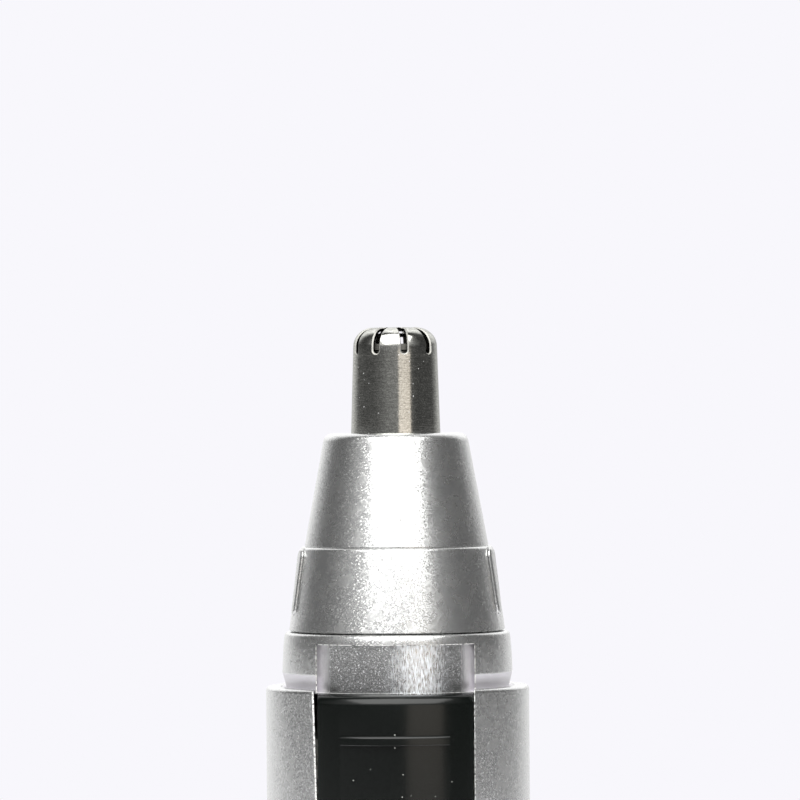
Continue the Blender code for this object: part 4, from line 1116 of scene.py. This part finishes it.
fit(spring("cell_contact_spring", "battery_spring", 4.5, 5.8, 3.4, 0.35, PLATED), PLATED, "cap_contact",
    "plated_steel", "battery_spring")
carry_over(CONTACT, "contact_cup")


# ---- Studio --------------------------------------------------------------------------------
# A pale table, a pale backdrop, one large soft box in front and above, a warm strip low on the
# right, and a camera level with the head that looks along +Y.

# The matt white laminate of the table has a faint mottle.
LAMINATE = grained("matt_white_laminate", "#F3F3F6", "#F8F7FC", 6.0, 0.6, 0.75, 0.01)


def soft_box(name, azimuth, elevation, distance, width, height, radiance, tint):
    """A rectangular area light that faces the head. Azimuth is from -Y towards +X."""
    light = bpy.data.lights.new(name, "AREA")
    light.shape = "RECTANGLE"
    light.size = width
    light.size_y = height
    light.energy = radiance * math.pi * width * height
    light.color = colour(tint)[:3]
    made = bpy.data.objects.new(name, light)
    bpy.context.scene.collection.objects.link(made)
    turn, lift = math.radians(azimuth), math.radians(elevation)
    toward = Vector((math.sin(turn) * math.cos(lift), -math.cos(turn) * math.cos(lift), math.sin(lift)))
    made.location = Vector((0.0, 0.0, LEDGE * MM)) + toward * distance
    made.rotation_euler = toward.to_track_quat("Z", "Y").to_euler()
    made.visible_camera = False
    return made


bm = bmesh.new()
bmesh.ops.create_circle(bm, cap_ends=True, segments=96, radius=500.0)
table = piece("table", bm)
table.data.materials.append(LAMINATE)

soft_box("key_soft_box", 3.0, 49.5, 0.7, 0.98, 0.80, 3.6, "#FFFFFD")
soft_box("warm_strip", 25.8, 0.5, 0.7, 0.40, 0.18, 1.06, "#FFF3E6")


def room_ramp(tree, turn, stops):
    """The room's brightness by direction round the object: (degrees from -Y towards +X, grey)."""
    ramp = node(tree, "ShaderNodeValToRGB", {"Fac": turn})
    set_stops(ramp, [((degrees + 180.0) / 360.0, (grey, grey, grey, 1.0)) for degrees, grey in stops])
    return ramp


world = bpy.data.worlds.new("studio")
world.use_nodes = True
bpy.context.scene.world = world
tree = world.node_tree
tree.nodes.clear()
direction = node(tree, "ShaderNodeTexCoord").outputs["Generated"]
across, away, height = node(tree, "ShaderNodeSeparateXYZ", {0: direction}).outputs
toward = node(tree, "ShaderNodeMath", {0: away, 1: -1.0}, operation="MULTIPLY")
turn = node(tree, "ShaderNodeMath", {0: across, 1: toward}, operation="ARCTAN2")
turn = node(tree, "ShaderNodeMapRange", {"Value": turn, "From Min": -math.pi, "From Max": math.pi})
above = room_ramp(tree, turn, (
    (-180.0, 1.2), (-150.0, 1.2), (-134.0, 0.60), (-116.0, 0.08), (-85.0, 0.06), (-60.0, 0.07),
    (-40.0, 0.11), (-20.0, 0.20), (5.0, 0.27), (45.0, 0.10), (62.0, 0.06), (95.0, 0.06),
    (116.0, 0.06), (134.0, 0.36), (150.0, 0.95), (180.0, 1.15)))
below = room_ramp(tree, turn, (
    (-180.0, 1.1), (-145.0, 1.15), (-120.0, 1.15), (-100.0, 0.74), (-85.0, 0.62), (-60.0, 0.42),
    (-30.0, 0.22), (0.0, 0.13), (45.0, 0.12), (62.0, 0.18), (85.0, 0.42), (100.0, 0.44),
    (120.0, 0.58), (145.0, 0.98), (180.0, 1.1)))
high = room_ramp(tree, turn, (
    (-180.0, 1.6), (-150.0, 1.6), (-134.0, 1.25), (-116.0, 0.16), (-100.0, 0.05), (-85.0, 0.10),
    (-70.0, 0.27), (-55.0, 0.62), (-40.0, 0.95), (-20.0, 1.0), (20.0, 0.8), (45.0, 0.45),
    (60.0, 0.22), (78.0, 0.06), (100.0, 0.06), (118.0, 0.12), (134.0, 0.95), (150.0, 1.55), (180.0, 1.6)))
up = node(tree, "ShaderNodeMapRange", {"Value": height, "From Min": -0.04, "From Max": 0.02})
room = node(tree, "ShaderNodeMix", {"Factor": up, 6: below, 7: above}, data_type="RGBA")
up = node(tree, "ShaderNodeMapRange", {"Value": height, "From Min": 0.12, "From Max": 0.26})
room = node(tree, "ShaderNodeMix", {"Factor": up, 6: room, 7: high}, data_type="RGBA")
lit = node(tree, "ShaderNodeBackground", {0: room, 1: 1.0})
seen = node(tree, "ShaderNodeBackground", {0: colour("#F8F7FC"), 1: 1.0})
path = node(tree, "ShaderNodeLightPath")
both = node(tree, "ShaderNodeMixShader", {0: path.outputs["Is Camera Ray"], 1: lit, 2: seen})
node(tree, "ShaderNodeOutputWorld", {0: both})

DISTANCE = 0.58
EYE_HEIGHT = (LEDGE + 28.5) * MM
OFFSET = 0.45 * MM
SWING = math.radians(1.3)
ROLL = math.radians(0.42)
camera = bpy.data.cameras.new("camera")
camera.lens = 261.0
camera.clip_start = 0.05
camera.clip_end = 10.0
eye = bpy.data.objects.new("camera", camera)
bpy.context.scene.collection.objects.link(eye)
eye.location = (DISTANCE * math.sin(SWING) + OFFSET, -DISTANCE * math.cos(SWING), EYE_HEIGHT)
eye.rotation_euler = (math.radians(90.0), ROLL, SWING)
bpy.context.scene.camera = eye
bpy.context.scene.view_settings.view_transform = "Standard"
